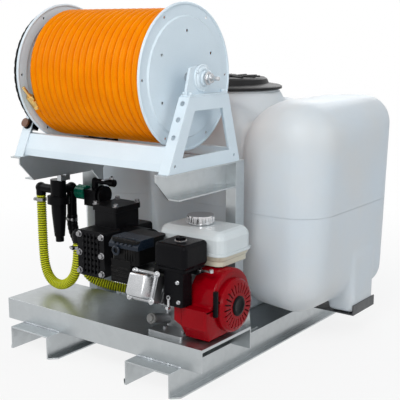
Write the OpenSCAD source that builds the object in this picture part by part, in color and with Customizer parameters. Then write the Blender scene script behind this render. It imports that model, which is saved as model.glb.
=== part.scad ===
// Skid sprayer: fork rails, engine deck, moulded tank, powered hose reel, engine and diaphragm pump.
// X runs across, Y to the back and Z up. The origin is under the middle of the skid, on the ground.

/* [Skid] */
// Length of the fork rails
rail_len = 1219; // [1180:1:1400]
// Width over the two legs of a rail
rail_w = 190; // [180:1:205]
// Height of the rails
rail_h = 84; // [75:1:100]
// Sheet thickness of the rails
rail_t = 5; // [3:0.5:8]
// Width of the lip along the foot of each rail leg
rail_lip = 28; // [16:1:36]
// Clear width between the two rails
rail_gap = 370; // [360:1:380]
// Length of rail in front of the deck
rail_nose = 62.5; // [45:0.5:80]
// Width of the engine deck
deck_w = 914; // [880:1:960]
// Depth of the engine deck
deck_d = 283; // [275:1:300]
// Height of the folded skirts of the deck
skirt_h = 79; // [65:1:95]
// Sheet thickness of the deck
deck_t = 4; // [3:0.5:6]

/* [Reel stand] */
// Height of the posts above the rails
post_h = 631; // [615:1:660]
// Width of the square post tube
post_w = 42; // [38:1:46]
// Depth of the post tube, front to back
post_d = 50; // [42:1:60]
// Wall of the post tube
post_wall = 3; // [2:0.5:5]
// Gap between the back of the deck and the posts
post_gap = 52; // [45:1:70]
// Height of the reel arms
arm_h = 90; // [75:1:110]
// Sheet thickness of the reel arms
arm_t = 5; // [3:0.5:7]

/* [Tank] */
// Width over both side lobes
tank_w = 1200; // [1160:1:1260]
// Depth of the tank
tank_d = 640; // [600:1:670]
// Height of the side lobes above the rails
tank_h = 828; // [780:1:860]
// Wall of the tank
tank_wall = 8; // [5:0.5:12]
// Rounding of the tank edges
tank_round = 110; // [80:1:120]
// Gap between the posts and the tank
tank_gap = 95; // [80:1:120]
// Inside diameter of the tank mouth
mouth_d = 380; // [340:1:390]
// Height of the mouth collar above the lobes
collar_h = 18; // [12:1:30]
// Thickness of the cross member sheet
cross_t = 4; // [3:0.5:6]

/* [Reel] */
// Diameter of the reel discs
disc_d = 483; // [470:1:490]
// Clear width between the discs
reel_in = 536; // [528:1:540]
// Sheet thickness of the discs
disc_t = 3; // [2:0.5:4]
// Distance of the reel axis behind the deck front
reel_back = 165; // [155:1:175]
// Diameter of the drum
drum_d = 240; // [200:1:280]
// Diameter of the reel shaft
shaft_d = 32; // [25:1:36]
// Height of the pressed side frames
frame_h = 234; // [226:1:244]
// Sheet thickness of the side frames
frame_t = 4; // [3:0.5:5]
// Depth of the folded edge of the side frames
frame_edge = 42; // [36:1:44]
// Height of the shaft above the side frames
shaft_up = 56; // [50:1:64]
// Outside diameter of the wound hose
hose_d = 27.6; // [24:0.1:28]
// Diameter of the wound hose pack
pack_d = 444; // [420:1:450]

/* [Engine] */
// Height of the crankshaft above the deck
crank_h = 106; // [104:1:115]
// Place of the crankshaft behind the deck front
crank_back = 178; // [170:1:185]
// Place of the engine block across the deck
engine_x = 290; // [280:1:300]
// Diameter of the recoil starter cover
recoil_d = 182; // [170:1:188]
// Lean of the cylinder above level
cylinder_lean = 20; // [17:1:22]
// Diameter of the fuel cap
cap_d = 92; // [84:1:98]

/* [Pump and hoses] */
// Diameter of the pump body
pump_d = 170; // [150:1:176]
// Diameter of the strainer bowl
bowl_d = 58; // [52:1:64]
// Outside diameter of the ribbed hoses
rib_hose_d = 38; // [34:1:40]
// Ribs along the suction hose
suction_ribs = 52; // [40:1:60]
// Ribs along the tank hose
tank_hose_ribs = 36; // [30:1:42]

/* [Fits] */
// Radial room in the running fits
run_fit = 0.05; // [0.02:0.01:0.1]
// Room between pieces that move past each other
clear = 0.5; // [0.3:0.1:1]

/* [Hidden] */
$fn = 64;

// Y of the deck front, which keeps the part centred front to back
front = -(reel_back - disc_d / 2 + rail_len - rail_nose) / 2;
rail_x = (rail_gap + rail_w) / 2;
deck_top = rail_h + skirt_h;
deck_lip = 10;

// Posts stand on the rails against the outer face of the arm webs
post_y = front + deck_d + post_gap;
post_top = rail_h + post_h;
arm_x = 308;
post_x = arm_x + arm_t;
arm_top = post_top + arm_t;
arm_low = arm_top - arm_h;
arm_front = front - 46;
arm_slope = 63;
arm_flange = arm_t + post_w;
foot_t = 6;

// Tank, measured from its front face and the rail tops
tank_y = post_y + post_d + tank_gap;
lobe_w = 405;
lobe_in = tank_w / 2 - lobe_w;
lobe_lift = 50;
// Rounding at the foot and the top of the inner corners, then of the outer ones
lobe_rounds = [[1.35, 1.8], [1.1, 1.3]] * tank_round;
centre_w = 2 * lobe_in + 80;
centre_step = 20;
centre_drop = 25;
base_step = 58;
collar_wall = 13;
collar_flare = 40;
collar_root = 60;
collar_top = tank_h + collar_h;
mouth_r = mouth_d / 2;
mouth_y = tank_d / 2;
lid_r = mouth_r + collar_wall + 11;
hinge_r = 4;
hinge_y = mouth_y + lid_r + 12;
hinge_z = collar_top + clear + 5;
knuckle_w = 60;
ear_w = 12;
foot_y0 = 318;
foot_y1 = 498;
foot_in = 16;
cross_lip = 40;
outlet_x = -130;
outlet_z = 66;
outlet_boss_r = 46;
outlet_face = 40;
outlet_flange = 24;

// Reel, measured from its axis
reel_y = front + reel_back;
reel_z = arm_top + frame_h + shaft_up;
disc_r = disc_d / 2;
shaft_r = shaft_d / 2;
swivel_r = 10;
swivel_len = 28;
dish = 5;
dish_r = 0.8 * disc_r;
rim_r = 5;
hub_x = reel_in / 2 + dish;
sprocket_x = hub_x + disc_t + 14;
sprocket_t = 5;
frame_x = reel_in / 2 + 84;
frame_base = [-reel_back - 31, 360 - reel_back];
frame_top = [77 - reel_back, 291 - reel_back];
frame_holes = [122, 182, 236];
frame_hole_r = 8.5;
frame_bar = 45;
bar_z0 = 5;
bar_z1 = 80;
drum_wall = 4;
drum_r = drum_d / 2;
motor_at = [249 - reel_back, -282];
motor_r = 42;
motor_len = 104;
rear_lean = (frame_top[1] - frame_base[1]) / frame_h;
rear_bar_h = 46;
rear_bar_d = 12;
rear_bar_t = 4;
rear_bar_y = frame_base[1] + rear_lean * rear_bar_h - frame_t * sqrt(1 + rear_lean * rear_lean) - run_fit;

// Drive by roller chain of five eighths inch pitch
chain_pitch = 15.875;
wheel_teeth = 88;
pinion_teeth = 13;
wheel_r = chain_pitch / 2 / sin(180 / wheel_teeth);
pinion_r = chain_pitch / 2 / sin(180 / pinion_teeth);

// Winding of the outer hose layer: it starts low at the front and climbs across the reel
hose_a = hose_d / 2;
wind_r = pack_d / 2 - hose_a;
wind_start = 220;
wind_x0 = -(reel_in / 2 - 23);
wind_x1 = reel_in / 2 - hose_a - 2.2;
wind_gap = 0.6;
wind_turns = floor(2 * (wind_x1 - wind_x0) / (hose_d + wind_gap)) / 2;
wind_pitch = (wind_x1 - wind_x0) / wind_turns;
wind_rings = 24;
wind_sides = 6;
wind_end = wind_start + 360 * wind_turns;
core_r = (wind_r - hose_a * cos(180 / wind_sides)) * cos(180 / wind_rings) - clear;

// Engine, measured from the deck under the crankshaft
engine_y = front + crank_back;
block_half = 62;
base_left = 82;
base_t = 12;
base_front = -150;
base_back = 86;
case_front = -80;
case_back = base_back - 36;
bolt_half_x = 38;
bolt_front = -106;
bolt_back = 66;
bolt_r = 5;
cylinder_x = -50;
head_at = 185;
head_t = 30;
shroud_x1 = 160;
shroud_wall = 3;
recoil_r = recoil_d / 2;
crank_r = 12;
dip_at = [-52, -118, 46];
dip_boss = [-50, 40];
grip_z = 28;
cap_h = 30;
cleaner_low = 240;
cleaner_top = 330;
cleaner_mid = [38, -118, 0];
carb_front = -172;
carb_back = -112;
throttle_at = [92, -87, 230];
choke_at = [32, carb_front, 150];
flap_y = -150;
muffler_lo = [-195, -196, 239];
muffler_hi = [-80, -50, 314];
dip_lean = 74;
tank_low = 232;
tank_seam = 272;
tank_high = 349;
fuel_lo = [-132, -38];
fuel_hi = [142, 149];
fuel_neck = [(fuel_lo[0] + fuel_hi[0]) / 2 - 16, (fuel_lo[1] + fuel_hi[1]) / 2, 0];

// Pump axis, measured from the engine's own zero
pump_axis = [67, 205];
gear_x0 = -170;
gear_x1 = fuel_lo[0] - 6;
gear_arm_x = gear_x0 + 12;
pump_x0 = gear_x0 - 290;
pump_r = pump_d / 2;
pump_mid = -405;
inlet_x = -530;
inlet_y = -85;
inlet_z = 42;
inlet_drop = 30;

// Controls hang from the left arm
strainer_at = [-376, 200];
strainer_top = arm_low - 30;
bowl_top = -94;
bowl_len = 150;
port_reach = 96;
port_z = -42;
port_back = 70;
port_drop = 70;
back_drop = 150;
control_y = front + 280;
control_plate_y = front + 312;
control_z = arm_low - 100;
control_plate_x = [-312, -215];
bracket_t = 5;
pipe_at = [-264, 6, 64];
valve_x = -177;
valve_stem_r = 4;
bypass_r = 36;

// Seats of the ribbed hoses
rib_deep = 2.5;
barb_r = 12;
bore_r = (barb_r + clear) / cos(22.5);
hose_seat_r = rib_hose_d / 2;

// Routes of the two ribbed hoses, from the deck front and the ground, moved along with their two ends
function led(p, start, end) =
    let (n = len(p) - 1)
    [
        for (i = [0 : n])
            let (share = min(max((i - 1) / (n - 2), 0), 1))
            p[i] + (1 - share) * (start - p[0]) + share * (end - p[n])
    ];
suction_route = led(
    [
        [-455, 200, 530], [-455, 200, 490], [-456, 200, 440], [-456, 199, 390], [-455, 198, 340],
        [-450, 194, 295], [-438, 187, 255], [-416, 178, 224], [-386, 170, 204], [-350, 165, 196],
        [-314, 161, 202], [-281, 160, 222], [-258, 160, 252], [-246, 160, 290], [-241, 160, 325],
        [-240, 160, 352], [-240, 160, 380]
    ],
    [strainer_at[0] - port_reach, strainer_at[1], strainer_top - port_drop - clear],
    [engine_x + inlet_x, crank_back + pump_axis[0] + inlet_y, deck_top + pump_axis[1] + inlet_z - inlet_drop - clear]
);
tank_hose_route = led(
    [
        [-376, 270, 450], [-376, 270, 414], [-371, 273, 382], [-361, 279, 350], [-350, 285, 317],
        [-342, 289, 285], [-337, 290, 248], [-327, 292, 218], [-306, 299, 197], [-275, 312, 182],
        [-240, 331, 171], [-205, 352, 163], [-175, 375, 156], [-151, 401, 152], [-134, 431, 150],
        [-130, 464, 150], [-130, 496, 150]
    ],
    [strainer_at[0], strainer_at[1] + port_back, strainer_top - back_drop - clear],
    [outlet_x, tank_y - front + outlet_face - outlet_flange - clear, rail_h + outlet_z]
);

// Shared shapes
module box(low, high) translate(low) cube(high - low);
module rod_x(r, x0, x1) translate([x0, 0, 0]) rotate([0, 90, 0]) cylinder(r = r, h = x1 - x0);
module rod_y(r, y0, y1) translate([0, y0, 0]) rotate([-90, 0, 0]) cylinder(r = r, h = y1 - y0);
module rod_z(r, z0, z1) translate([0, 0, z0]) cylinder(r = r, h = z1 - z0);
// Flat outline in Y and Z, made thick along X
module plate_yz(points, x0, x1)
    translate([x0, 0, 0]) rotate([90, 0, 90]) linear_extrude(x1 - x0) polygon(points);
// Flat outline in X and Z, made thick along Y
module plate_xz(points, y0, y1)
    translate([0, y1, 0]) rotate([90, 0, 0]) linear_extrude(y1 - y0) polygon(points);
// Profile of radius against X, turned about the X axis
module turn_x() rotate([0, 90, 0]) rotate_extrude() children();
module left() mirror([1, 0, 0]) children();
module round_rect(low, high, r)
    for (shrink = [[0, r], [r, 0]]) {
        translate(low + shrink) square(high - low - 2 * shrink);
        for (x = [low[0] + r, high[0] - r], y = [low[1] + r, high[1] - r]) translate([x, y]) circle(r);
    }
// Upright block with rounded vertical edges
module round_block(low, high, r)
    translate([0, 0, low[2]])
        linear_extrude(high[2] - low[2]) round_rect([low[0], low[1]], [high[0], high[1]], r);
// Moulded box rounded on all its edges
module soft_box(low, high, r, sides = 20)
    hull()
        for (x = [low[0] + r, high[0] - r], y = [low[1] + r, high[1] - r], z = [low[2] + r, high[2] - r])
            translate([x, y, z]) sphere(r, $fn = sides);
module at_tank() translate([0, tank_y, rail_h]) children();
module at_mouth() translate([0, tank_y + mouth_y, rail_h]) children();
module at_reel() translate([0, reel_y, reel_z]) children();
module at_engine() translate([engine_x, engine_y, deck_top]) children();
module at_crank() translate([engine_x, engine_y, deck_top + crank_h]) children();
module at_pump() translate([engine_x, engine_y + pump_axis[0], deck_top + pump_axis[1]]) children();
module at_cylinder()
    translate([engine_x + cylinder_x, engine_y, deck_top + crank_h]) rotate([90 - cylinder_lean, 0, 0]) children();

// Skid
module rail() {
    half = rail_w / 2;
    reach = half + rail_lip;
    inner = half - rail_t;
    y0 = front - rail_nose;
    difference() {
        plate_xz([
            [-reach, 0], [-inner, 0], [-inner, rail_h - rail_t], [inner, rail_h - rail_t], [inner, 0], [reach, 0],
            [reach, rail_t], [half, rail_t], [half, rail_h], [-half, rail_h], [-half, rail_t], [-reach, rail_t]
        ], y0, y0 + rail_len);
        for (side = [-1, 1], end = [y0, y0 + rail_len])
            translate([side * reach, end, -1]) rotate(45)
                cube([1.2 * rail_lip, 1.2 * rail_lip, 2 * rail_t + 2], center = true);
    }
}
module left_rail() color("lightsteelblue") translate([-rail_x, 0, 0]) rail();
module right_rail() color("lightsteelblue") translate([rail_x, 0, 0]) rail();

module engine_deck() color("lightsteelblue") {
    back = front + deck_d;
    inner = deck_top - deck_t;
    half = deck_w / 2;
    difference() {
        plate_yz([
            [front, rail_h], [front + deck_t, rail_h], [front + deck_t, inner], [back - deck_t, inner],
            [back - deck_t, rail_h], [back, rail_h], [back, deck_top], [front, deck_top]
        ], -half, half);
        at_engine() for (x = [-1, 1] * bolt_half_x, y = [bolt_front, bolt_back])
            translate([x, y, 0]) rod_z(bolt_r + clear, -2 * deck_t, 1);
    }
    for (side = [-1, 1])
        box([side > 0 ? half - deck_t : -half, front + deck_t, deck_top - deck_lip],
            [side > 0 ? half : deck_t - half, back - deck_t, inner]);
}

module tank_crossmember() color("dimgray") at_tank() {
    reach = tank_w / 2 - foot_in + cross_t;
    box([-reach, foot_y0, 0], [reach, foot_y1, cross_t]);
    for (side = [-1, 1])
        box([side > 0 ? reach - cross_t : -reach, foot_y0, cross_t],
            [side > 0 ? reach : cross_t - reach, foot_y1, cross_lip]);
}

module post() {
    foot_back = post_y + post_d + tank_gap - 10;
    gusset_x = post_x + post_w / 2;
    floor_z = rail_h + foot_t;
    box([post_x - 10, post_y - 14, rail_h], [post_x + post_w + 10, foot_back, floor_z]);
    difference() {
        box([post_x, post_y, floor_z], [post_x + post_w, post_y + post_d, post_top]);
        box([post_x + post_wall, post_y + post_wall, floor_z + 1],
            [post_x + post_w - post_wall, post_y + post_d - post_wall, post_top - post_wall]);
    }
    plate_yz([
        [post_y + post_d, floor_z], [foot_back - 4, floor_z], [foot_back - 14, floor_z + 56],
        [post_y + post_d, floor_z + 160]
    ], gusset_x - 3, gusset_x + 3);
}
module left_post() color("lightsteelblue") left() post();
module right_post() color("lightsteelblue") post();

module arm() {
    back = post_y + post_d;
    outer = arm_x + arm_flange;
    plate_yz([
        [arm_front, arm_top], [arm_front, arm_top - 25], [arm_front + arm_slope, arm_low], [back, arm_low],
        [back, arm_top]
    ], arm_x, arm_x + arm_t);
    box([arm_x + arm_t, arm_front, arm_top - arm_t], [outer, back, arm_top]);
    box([arm_x + arm_t, arm_front + arm_slope, arm_low], [outer, post_y, arm_low + arm_t]);
}
module left_arm() color("lightsteelblue") left() arm();
module right_arm() color("lightsteelblue") arm();

// Tank: two side lobes and a centre section run together, with the same form drawn in by the wall
module tank_form(wall) {
    r = tank_round - wall;
    for (side = [-1, 1])
        hull()
            for (out = [0, 1], back = [0, 1], up = [0, 1]) {
                bend = lobe_rounds[out][up];
                x = out == 0 ? lobe_in + bend : tank_w / 2 - bend;
                y = back == 0 ? bend : tank_d - bend;
                z = up == 0 ? lobe_lift + bend : tank_h - bend;
                translate([side * x, y, z]) sphere(bend - wall, $fn = 24);
            }
    hull()
        for (side = [-1, 1]) {
            x = side * (centre_w / 2 - tank_round);
            for (y = [centre_step + tank_round, tank_d - tank_round])
                translate([x, y, tank_h - centre_drop - tank_round]) sphere(r, $fn = 24);
            for (y = [base_step + tank_round, tank_d - tank_round])
                translate([x, y, wall]) cylinder(r = r, h = 1, $fn = 24);
        }
}
module tank_shell() color("aliceblue") at_tank() {
    foot_out = tank_w / 2 - foot_in - clear;
    difference() {
        union() {
            tank_form(0);
            for (side = [-1, 1])
                box([side > 0 ? foot_out - 110 : -foot_out, foot_y0 + 2, cross_t],
                    [side > 0 ? foot_out : 110 - foot_out, foot_y1 - 2, 240]);
            translate([0, mouth_y, tank_h - collar_root])
                cylinder(r1 = mouth_r + collar_wall + collar_flare, r2 = mouth_r + collar_wall, h = collar_h + collar_root);
            translate([outlet_x, 0, outlet_z]) rod_y(outlet_boss_r, outlet_face, base_step + 40);
            for (side = [-1, 1])
                plate_yz([
                    [mouth_y + mouth_r + 5, collar_top - 34], [hinge_y - 14, collar_top - 34],
                    [hinge_y + 10, collar_top - 6], [hinge_y + 10, hinge_z + 9], [hinge_y - 9, hinge_z + 9],
                    [hinge_y - 9, collar_top - 2], [mouth_y + mouth_r + 5, collar_top - 2]
                ], side * (knuckle_w / 2 + 2 + ear_w / 2) - ear_w / 2,
                side * (knuckle_w / 2 + 2 + ear_w / 2) + ear_w / 2);
        }
        tank_form(tank_wall);
        translate([0, mouth_y, 0]) rod_z(mouth_r, tank_h - 120, collar_top + 1);
        box([-tank_w / 2, foot_y0 - 1, -1], [tank_w / 2, foot_y1 + 1, cross_t + clear]);
        translate([outlet_x, 0, outlet_z]) rod_y(20, outlet_face - 1, base_step + 60);
        translate([0, hinge_y, hinge_z]) rod_x(hinge_r + run_fit, -knuckle_w, knuckle_w);
    }
}
module tank_lid() color("#181818") at_mouth() {
    low = collar_top + clear;
    difference() {
        union() {
            rotate_extrude() polygon([
                [0, low], [lid_r, low], [lid_r, low + 9], [lid_r - 8, low + 13], [lid_r - 52, low + 20],
                [lid_r - 60, low + 38], [lid_r - 70, low + 44], [0, low + 44]
            ]);
            box([-knuckle_w / 2, lid_r - 12, low], [knuckle_w / 2, lid_r + 12, low + 10]);
            translate([0, lid_r + 12, hinge_z]) rod_x(9, -knuckle_w / 2, knuckle_w / 2);
        }
        translate([0, lid_r + 12, hinge_z]) rod_x(hinge_r + run_fit, -knuckle_w, knuckle_w);
        rotate_extrude() polygon([
            [0, low - 1], [mouth_r - 12, low - 1], [mouth_r - 12, low + 5], [lid_r - 70, low + 12],
            [lid_r - 76, low + 36], [0, low + 36]
        ]);
    }
}
module lid_hinge_pin() color("silver") at_tank()
    translate([0, hinge_y, hinge_z]) rod_x(hinge_r, -knuckle_w / 2 - 2 - ear_w, knuckle_w / 2 + 2 + ear_w);
module tank_outlet() color("#202020") at_tank() translate([outlet_x, 0, outlet_z]) difference() {
    union() {
        rod_y(20 - run_fit, outlet_face, base_step + 50);
        rod_y(36, outlet_face - 12, outlet_face);
        rod_y(26, outlet_face - outlet_flange, outlet_face - 12, $fn = 6);
        rod_y(barb_r, outlet_face - outlet_flange - 30, outlet_face - outlet_flange);
    }
    rod_y(barb_r - 3, outlet_face - 70, base_step + 60);
}

// Reel stand
// Trapezium of the side frame in Y and Z, drawn in by a distance from every edge
function frame_outline(inset) =
    let (
        lean0 = (frame_top[0] - frame_base[0]) / frame_h,
        lean1 = (frame_top[1] - frame_base[1]) / frame_h,
        in0 = inset * sqrt(1 + lean0 * lean0),
        in1 = inset * sqrt(1 + lean1 * lean1),
        low = inset,
        high = frame_h - inset
    )
    [
        [frame_base[0] + lean0 * low + in0, low], [frame_base[1] + lean1 * low - in1, low],
        [frame_base[1] + lean1 * high - in1, high], [frame_base[0] + lean0 * high + in0, high]
    ];
module side_frame() translate([0, reel_y, arm_top]) {
    lean = atan((frame_top[0] - frame_base[0]) / frame_h);
    difference() {
        plate_yz(frame_outline(0), frame_x - frame_edge, frame_x);
        plate_yz(frame_outline(frame_t), frame_x - frame_edge - 1, frame_x - frame_t);
        plate_yz(frame_outline(frame_bar), frame_x - frame_t - 1, frame_x + 1);
        for (up = frame_holes)
            translate([frame_x - frame_edge / 2, frame_base[0], 0]) rotate([-lean, 0, 0])
                translate([0, 0, up]) rod_y(frame_hole_r, -10, 20);
        for (y = [frame_base[0] + 34, frame_base[1] - 34])
            translate([0, y, 24]) rod_x(5, frame_x - frame_t - 1, frame_x + 1);
    }
}
module left_side_frame() color("aliceblue") left() side_frame();
module right_side_frame() color("aliceblue") side_frame();

// Folded bar between the side frames, its face leaning with their front edge
module front_bar() color("aliceblue") translate([0, reel_y, arm_top]) {
    lean = (frame_top[0] - frame_base[0]) / frame_h;
    skin = frame_t * sqrt(1 + lean * lean);
    y0 = frame_base[0] + skin;
    crease = bar_z0 + 24;
    deep = 26;
    end = frame_x - frame_t;
    plate_yz([
        [y0 + lean * bar_z0 + deep, bar_z0], [y0 + lean * bar_z0 + 6, bar_z0], [y0 + lean * crease, crease],
        [y0 + lean * bar_z1, bar_z1], [y0 + lean * bar_z1 + deep, bar_z1], [y0 + lean * bar_z1 + deep, bar_z1 - 4],
        [y0 + lean * bar_z1 + 4, bar_z1 - 4], [y0 + lean * crease + 4, crease],
        [y0 + lean * bar_z0 + 10, bar_z0 + 4], [y0 + lean * bar_z0 + deep, bar_z0 + 4]
    ], -end, end);
}
module rear_bar() color("aliceblue") translate([0, reel_y, arm_top]) {
    end = frame_x - frame_t;
    plate_yz([
        [rear_bar_y - rear_bar_d, frame_t], [rear_bar_y, frame_t], [rear_bar_y, rear_bar_h], [rear_bar_y - rear_bar_d, rear_bar_h],
        [rear_bar_y - rear_bar_d, rear_bar_h - rear_bar_t], [rear_bar_y - rear_bar_t, rear_bar_h - rear_bar_t],
        [rear_bar_y - rear_bar_t, frame_t + rear_bar_t], [rear_bar_y - rear_bar_d, frame_t + rear_bar_t]
    ], -end, end);
}

module bearing() at_reel() {
    foot = -shaft_up;
    mid = frame_x - frame_edge / 2;
    difference() {
        union() {
            translate([mid - 5, 0, 0]) rotate([90, 0, 90]) linear_extrude(10) {
                polygon([
                    [frame_top[0] + 6, foot], [frame_top[1] - 4, foot], [38, 6], [20, 32], [-22, 40], [-60, 34],
                    [frame_top[0] + 8, foot + 26]
                ]);
                circle(38);
            }
            box([mid - 19, frame_top[0] + 6, foot], [mid + 19, frame_top[1] - 4, foot + 6]);
            rod_x(27, mid - 16, mid + 16);
        }
        rod_x(shaft_r + run_fit, mid - 20, mid + 20);
    }
}
module left_bearing() color("whitesmoke") left() bearing();
module right_bearing() color("whitesmoke") bearing();

// Reel
module disc() at_reel() difference() {
    face = reel_in / 2;
    turn_x() {
        polygon([
            [shaft_r + run_fit, face + dish], [dish_r, face + dish], [dish_r + dish, face], [disc_r - rim_r, face],
            [disc_r - rim_r, face + disc_t], [dish_r + dish + 1, face + disc_t], [dish_r + 1, face + dish + disc_t],
            [shaft_r + run_fit, face + dish + disc_t]
        ]);
        translate([disc_r - rim_r, face + disc_t / 2 + 1]) circle(rim_r);
    }
    for (i = [0 : 5]) {
        rotate([90 + 60 * i, 0, 0]) translate([0, 0.62 * disc_r, 0]) rod_x(5, face - 1, face + 20);
        rotate([60 * i, 0, 0]) translate([0, disc_r - 22, 0]) rod_x(4.5, face - 1, face + 20);
    }
}
module left_disc() color("aliceblue") left() disc();
module right_disc() color("aliceblue") disc();
module drum() color("lightgray") at_reel() difference() {
    rod_x(drum_r, -hub_x, hub_x);
    rod_x(drum_r - drum_wall, -hub_x - 1, hub_x + 1);
}
module reel_shaft() color("silver") at_reel() {
    rod_x(shaft_r, -frame_x - 8, frame_x + 8);
    rod_x(swivel_r, frame_x + 8, frame_x + swivel_len);
    for (side = [-1, 1]) difference() {
        rod_x(34, side > 0 ? hub_x - 22 : -hub_x, side > 0 ? hub_x : 22 - hub_x);
        rod_x(shaft_r - 1, -frame_x, frame_x);
    }
}

// Hose: a plain core stands for the inner layers, and the outer layer is one unbroken tube
function wind_ring(centre, out) = [
    for (s = [0 : wind_sides - 1])
        let (turn = 360 * (s + 0.5) / wind_sides)
        centre + hose_a * (cos(turn) * out + sin(turn) * [1, 0, 0])
];
function wind_out(turn) = [0, cos(turn), sin(turn)];
function wind_along(turn) = [0, -sin(turn), cos(turn)];
function wind_centre(turn) = [wind_x0 + wind_pitch * (turn - wind_start) / 360, 0, 0] + wind_r * wind_out(turn);
wind_steps = wind_turns * wind_rings;
wind_points = [
    for (s = wind_ring(wind_centre(wind_start) - hose_d * wind_along(wind_start), wind_out(wind_start))) s,
    for (i = [0 : wind_steps])
        for (s = wind_ring(wind_centre(wind_start + 360 * i / wind_rings), wind_out(wind_start + 360 * i / wind_rings))) s,
    for (s = wind_ring(wind_centre(wind_end) + hose_d * wind_along(wind_end), wind_out(wind_end))) s
];
// Least distance between points of neighbouring turns, less the flats that face each other
function turn_gap(i) = min([
    for (s = [0 : wind_sides - 1], q = [0 : wind_sides - 1])
        norm(wind_points[i * wind_sides + s] - wind_points[(i + wind_rings) * wind_sides + q])
]);
winding_gap = min([for (i = [1 : wind_steps - wind_rings]) turn_gap(i)]);
echo(least_gap_between_hose_turns = winding_gap);
// Triangles of a tube with flat ends, from rings of points
function tube_faces(rings, sides) = [
    for (s = [1 : sides - 2]) [0, s, s + 1],
    for (i = [0 : rings - 2], s = [0 : sides - 1])
        let (a = i * sides + s, b = i * sides + (s + 1) % sides)
        each [[a, a + sides, b], [b, a + sides, b + sides]],
    let (last = (rings - 1) * sides) for (s = [1 : sides - 2]) [last, last + s + 1, last + s]
];
module hose_core() color("#d07800") at_reel() {
    difference() {
        rod_x(core_r, -reel_in / 2 + clear, reel_in / 2 - clear);
        rod_x(drum_r + clear, -reel_in, reel_in);
    }
    // Riser where the outer layer climbs out of the core
    rise = 70;
    translate([wind_x1, 0, 0]) rotate([wind_end, 0, 0]) translate([-hose_a, 0, hose_d])
        plate_yz([
            [core_r - 6, 0], [wind_r + hose_a - 1, 0], [wind_r + hose_a - 3, 12], [core_r - 14, rise],
            [core_r - 24, rise]
        ], 2.2, hose_d);
}
module hose_winding() color("darkorange") at_reel()
    polyhedron(wind_points, tube_faces(wind_steps + 3, wind_sides), convexity = 10);
module hose_end_fitting() color("goldenrod") at_reel()
    translate(wind_centre(wind_start) - hose_d * wind_along(wind_start)) rotate([wind_start, 0, 0]) mirror([0, 0, 1]) {
        rod_z(hose_a, run_fit, 10);
        rod_z(hose_a, 10, 30, $fn = 6);
        rod_z(12, 30, 38);
        rod_z(13.5, 38, 54, $fn = 6);
        rod_z(8, 54, 60);
        rod_z(5.5, 60, 94);
    }

// Chain drive and rewind motor
function tooth_ring(r, count) = [
    for (i = [0 : count - 1], p = [[-0.32, -4.5], [-0.14, 3.2], [0.14, 3.2], [0.32, -4.5]])
        (r + p[1]) * [cos(360 * (i + p[0]) / count), sin(360 * (i + p[0]) / count)]
];
module toothed_wheel(r, count) rotate([90, 0, 90]) linear_extrude(sprocket_t) polygon(tooth_ring(r, count));
module drive_sprocket() color("#1c1c1c") left() at_reel() difference() {
    union() {
        translate([sprocket_x, 0, 0]) toothed_wheel(wheel_r, wheel_teeth);
        rod_x(70, hub_x + disc_t, sprocket_x);
    }
    rod_x(shaft_r + run_fit, 0, frame_x);
    for (i = [0 : 5]) rotate([60 * i + 30, 0, 0]) translate([0, 132, 0]) rod_x(46, sprocket_x - 1, frame_x);
}
module at_motor() left() at_reel() translate([0, motor_at[0], motor_at[1]]) children();
module motor_sprocket() color("#1c1c1c") at_motor() difference() {
    union() {
        translate([sprocket_x, 0, 0]) toothed_wheel(pinion_r, pinion_teeth);
        rod_x(14, sprocket_x - 8, sprocket_x);
    }
    rod_x(8 + run_fit, 0, frame_x);
}
module rewind_motor() color("#1c1c1c") {
    end = sprocket_x - 12;
    at_motor() {
        rod_x(motor_r, end - motor_len, end - 34);
        rod_x(motor_r - 6, end - motor_len - 14, end - motor_len);
        rod_x(motor_r - 3, end - 34, end);
        rod_x(8, end, sprocket_x + sprocket_t + 3);
        low = arm_top + frame_t - reel_z - motor_at[1];
        box([end - 90, 20, low + 6], [end - 50, rear_bar_y - rear_bar_t - motor_at[0], low + 34]);
    }
}
// Outline of the chain: a belt round both wheels
module chain_outline(grow) {
    span = norm(motor_at);
    aim = atan2(motor_at[1], motor_at[0]);
    R = wheel_r + grow;
    r = pinion_r + grow;
    tilt = acos((R - r) / span);
    rotate(aim) {
        circle(R);
        translate([span, 0]) circle(r);
        polygon([
            R * [cos(tilt), sin(tilt)], [span, 0] + r * [cos(tilt), sin(tilt)],
            [span, 0] + r * [cos(tilt), -sin(tilt)], R * [cos(tilt), -sin(tilt)]
        ]);
    }
}
module drive_chain() color("#303030") left() at_reel() {
    low = 4.2;
    for (x = [sprocket_x - 4, sprocket_x + sprocket_t + 1.5])
        translate([x, 0, 0]) rotate([90, 0, 90]) linear_extrude(2.5) difference() {
            chain_outline(low + 9);
            chain_outline(low - 6);
        }
    translate([sprocket_x - 2, 0, 0]) rotate([90, 0, 90]) linear_extrude(sprocket_t + 4) difference() {
        chain_outline(low + 7);
        chain_outline(low);
    }
}
module at_button()
    left() translate([frame_x - frame_edge / 2, reel_y + frame_base[0], arm_top])
        rotate([-atan((frame_top[0] - frame_base[0]) / frame_h), 0, 0]) translate([0, 0, frame_holes[0]]) children();
module switch_box() color("#1c1c1c") at_button() difference() {
    union() {
        box([-17, frame_t, -12], [17, frame_t + 34, 44]);
        rod_y(frame_hole_r - run_fit, 0, frame_t + 1);
        rod_y(19, -4, 0);
    }
    rod_y(4 + run_fit, -5, frame_t + 24);
}
module rewind_button() color("#7a3d20") at_button() {
    rod_y(16, -18, -4 - 6.5);
    rod_y(4, -11, frame_t + 14);
}

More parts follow.
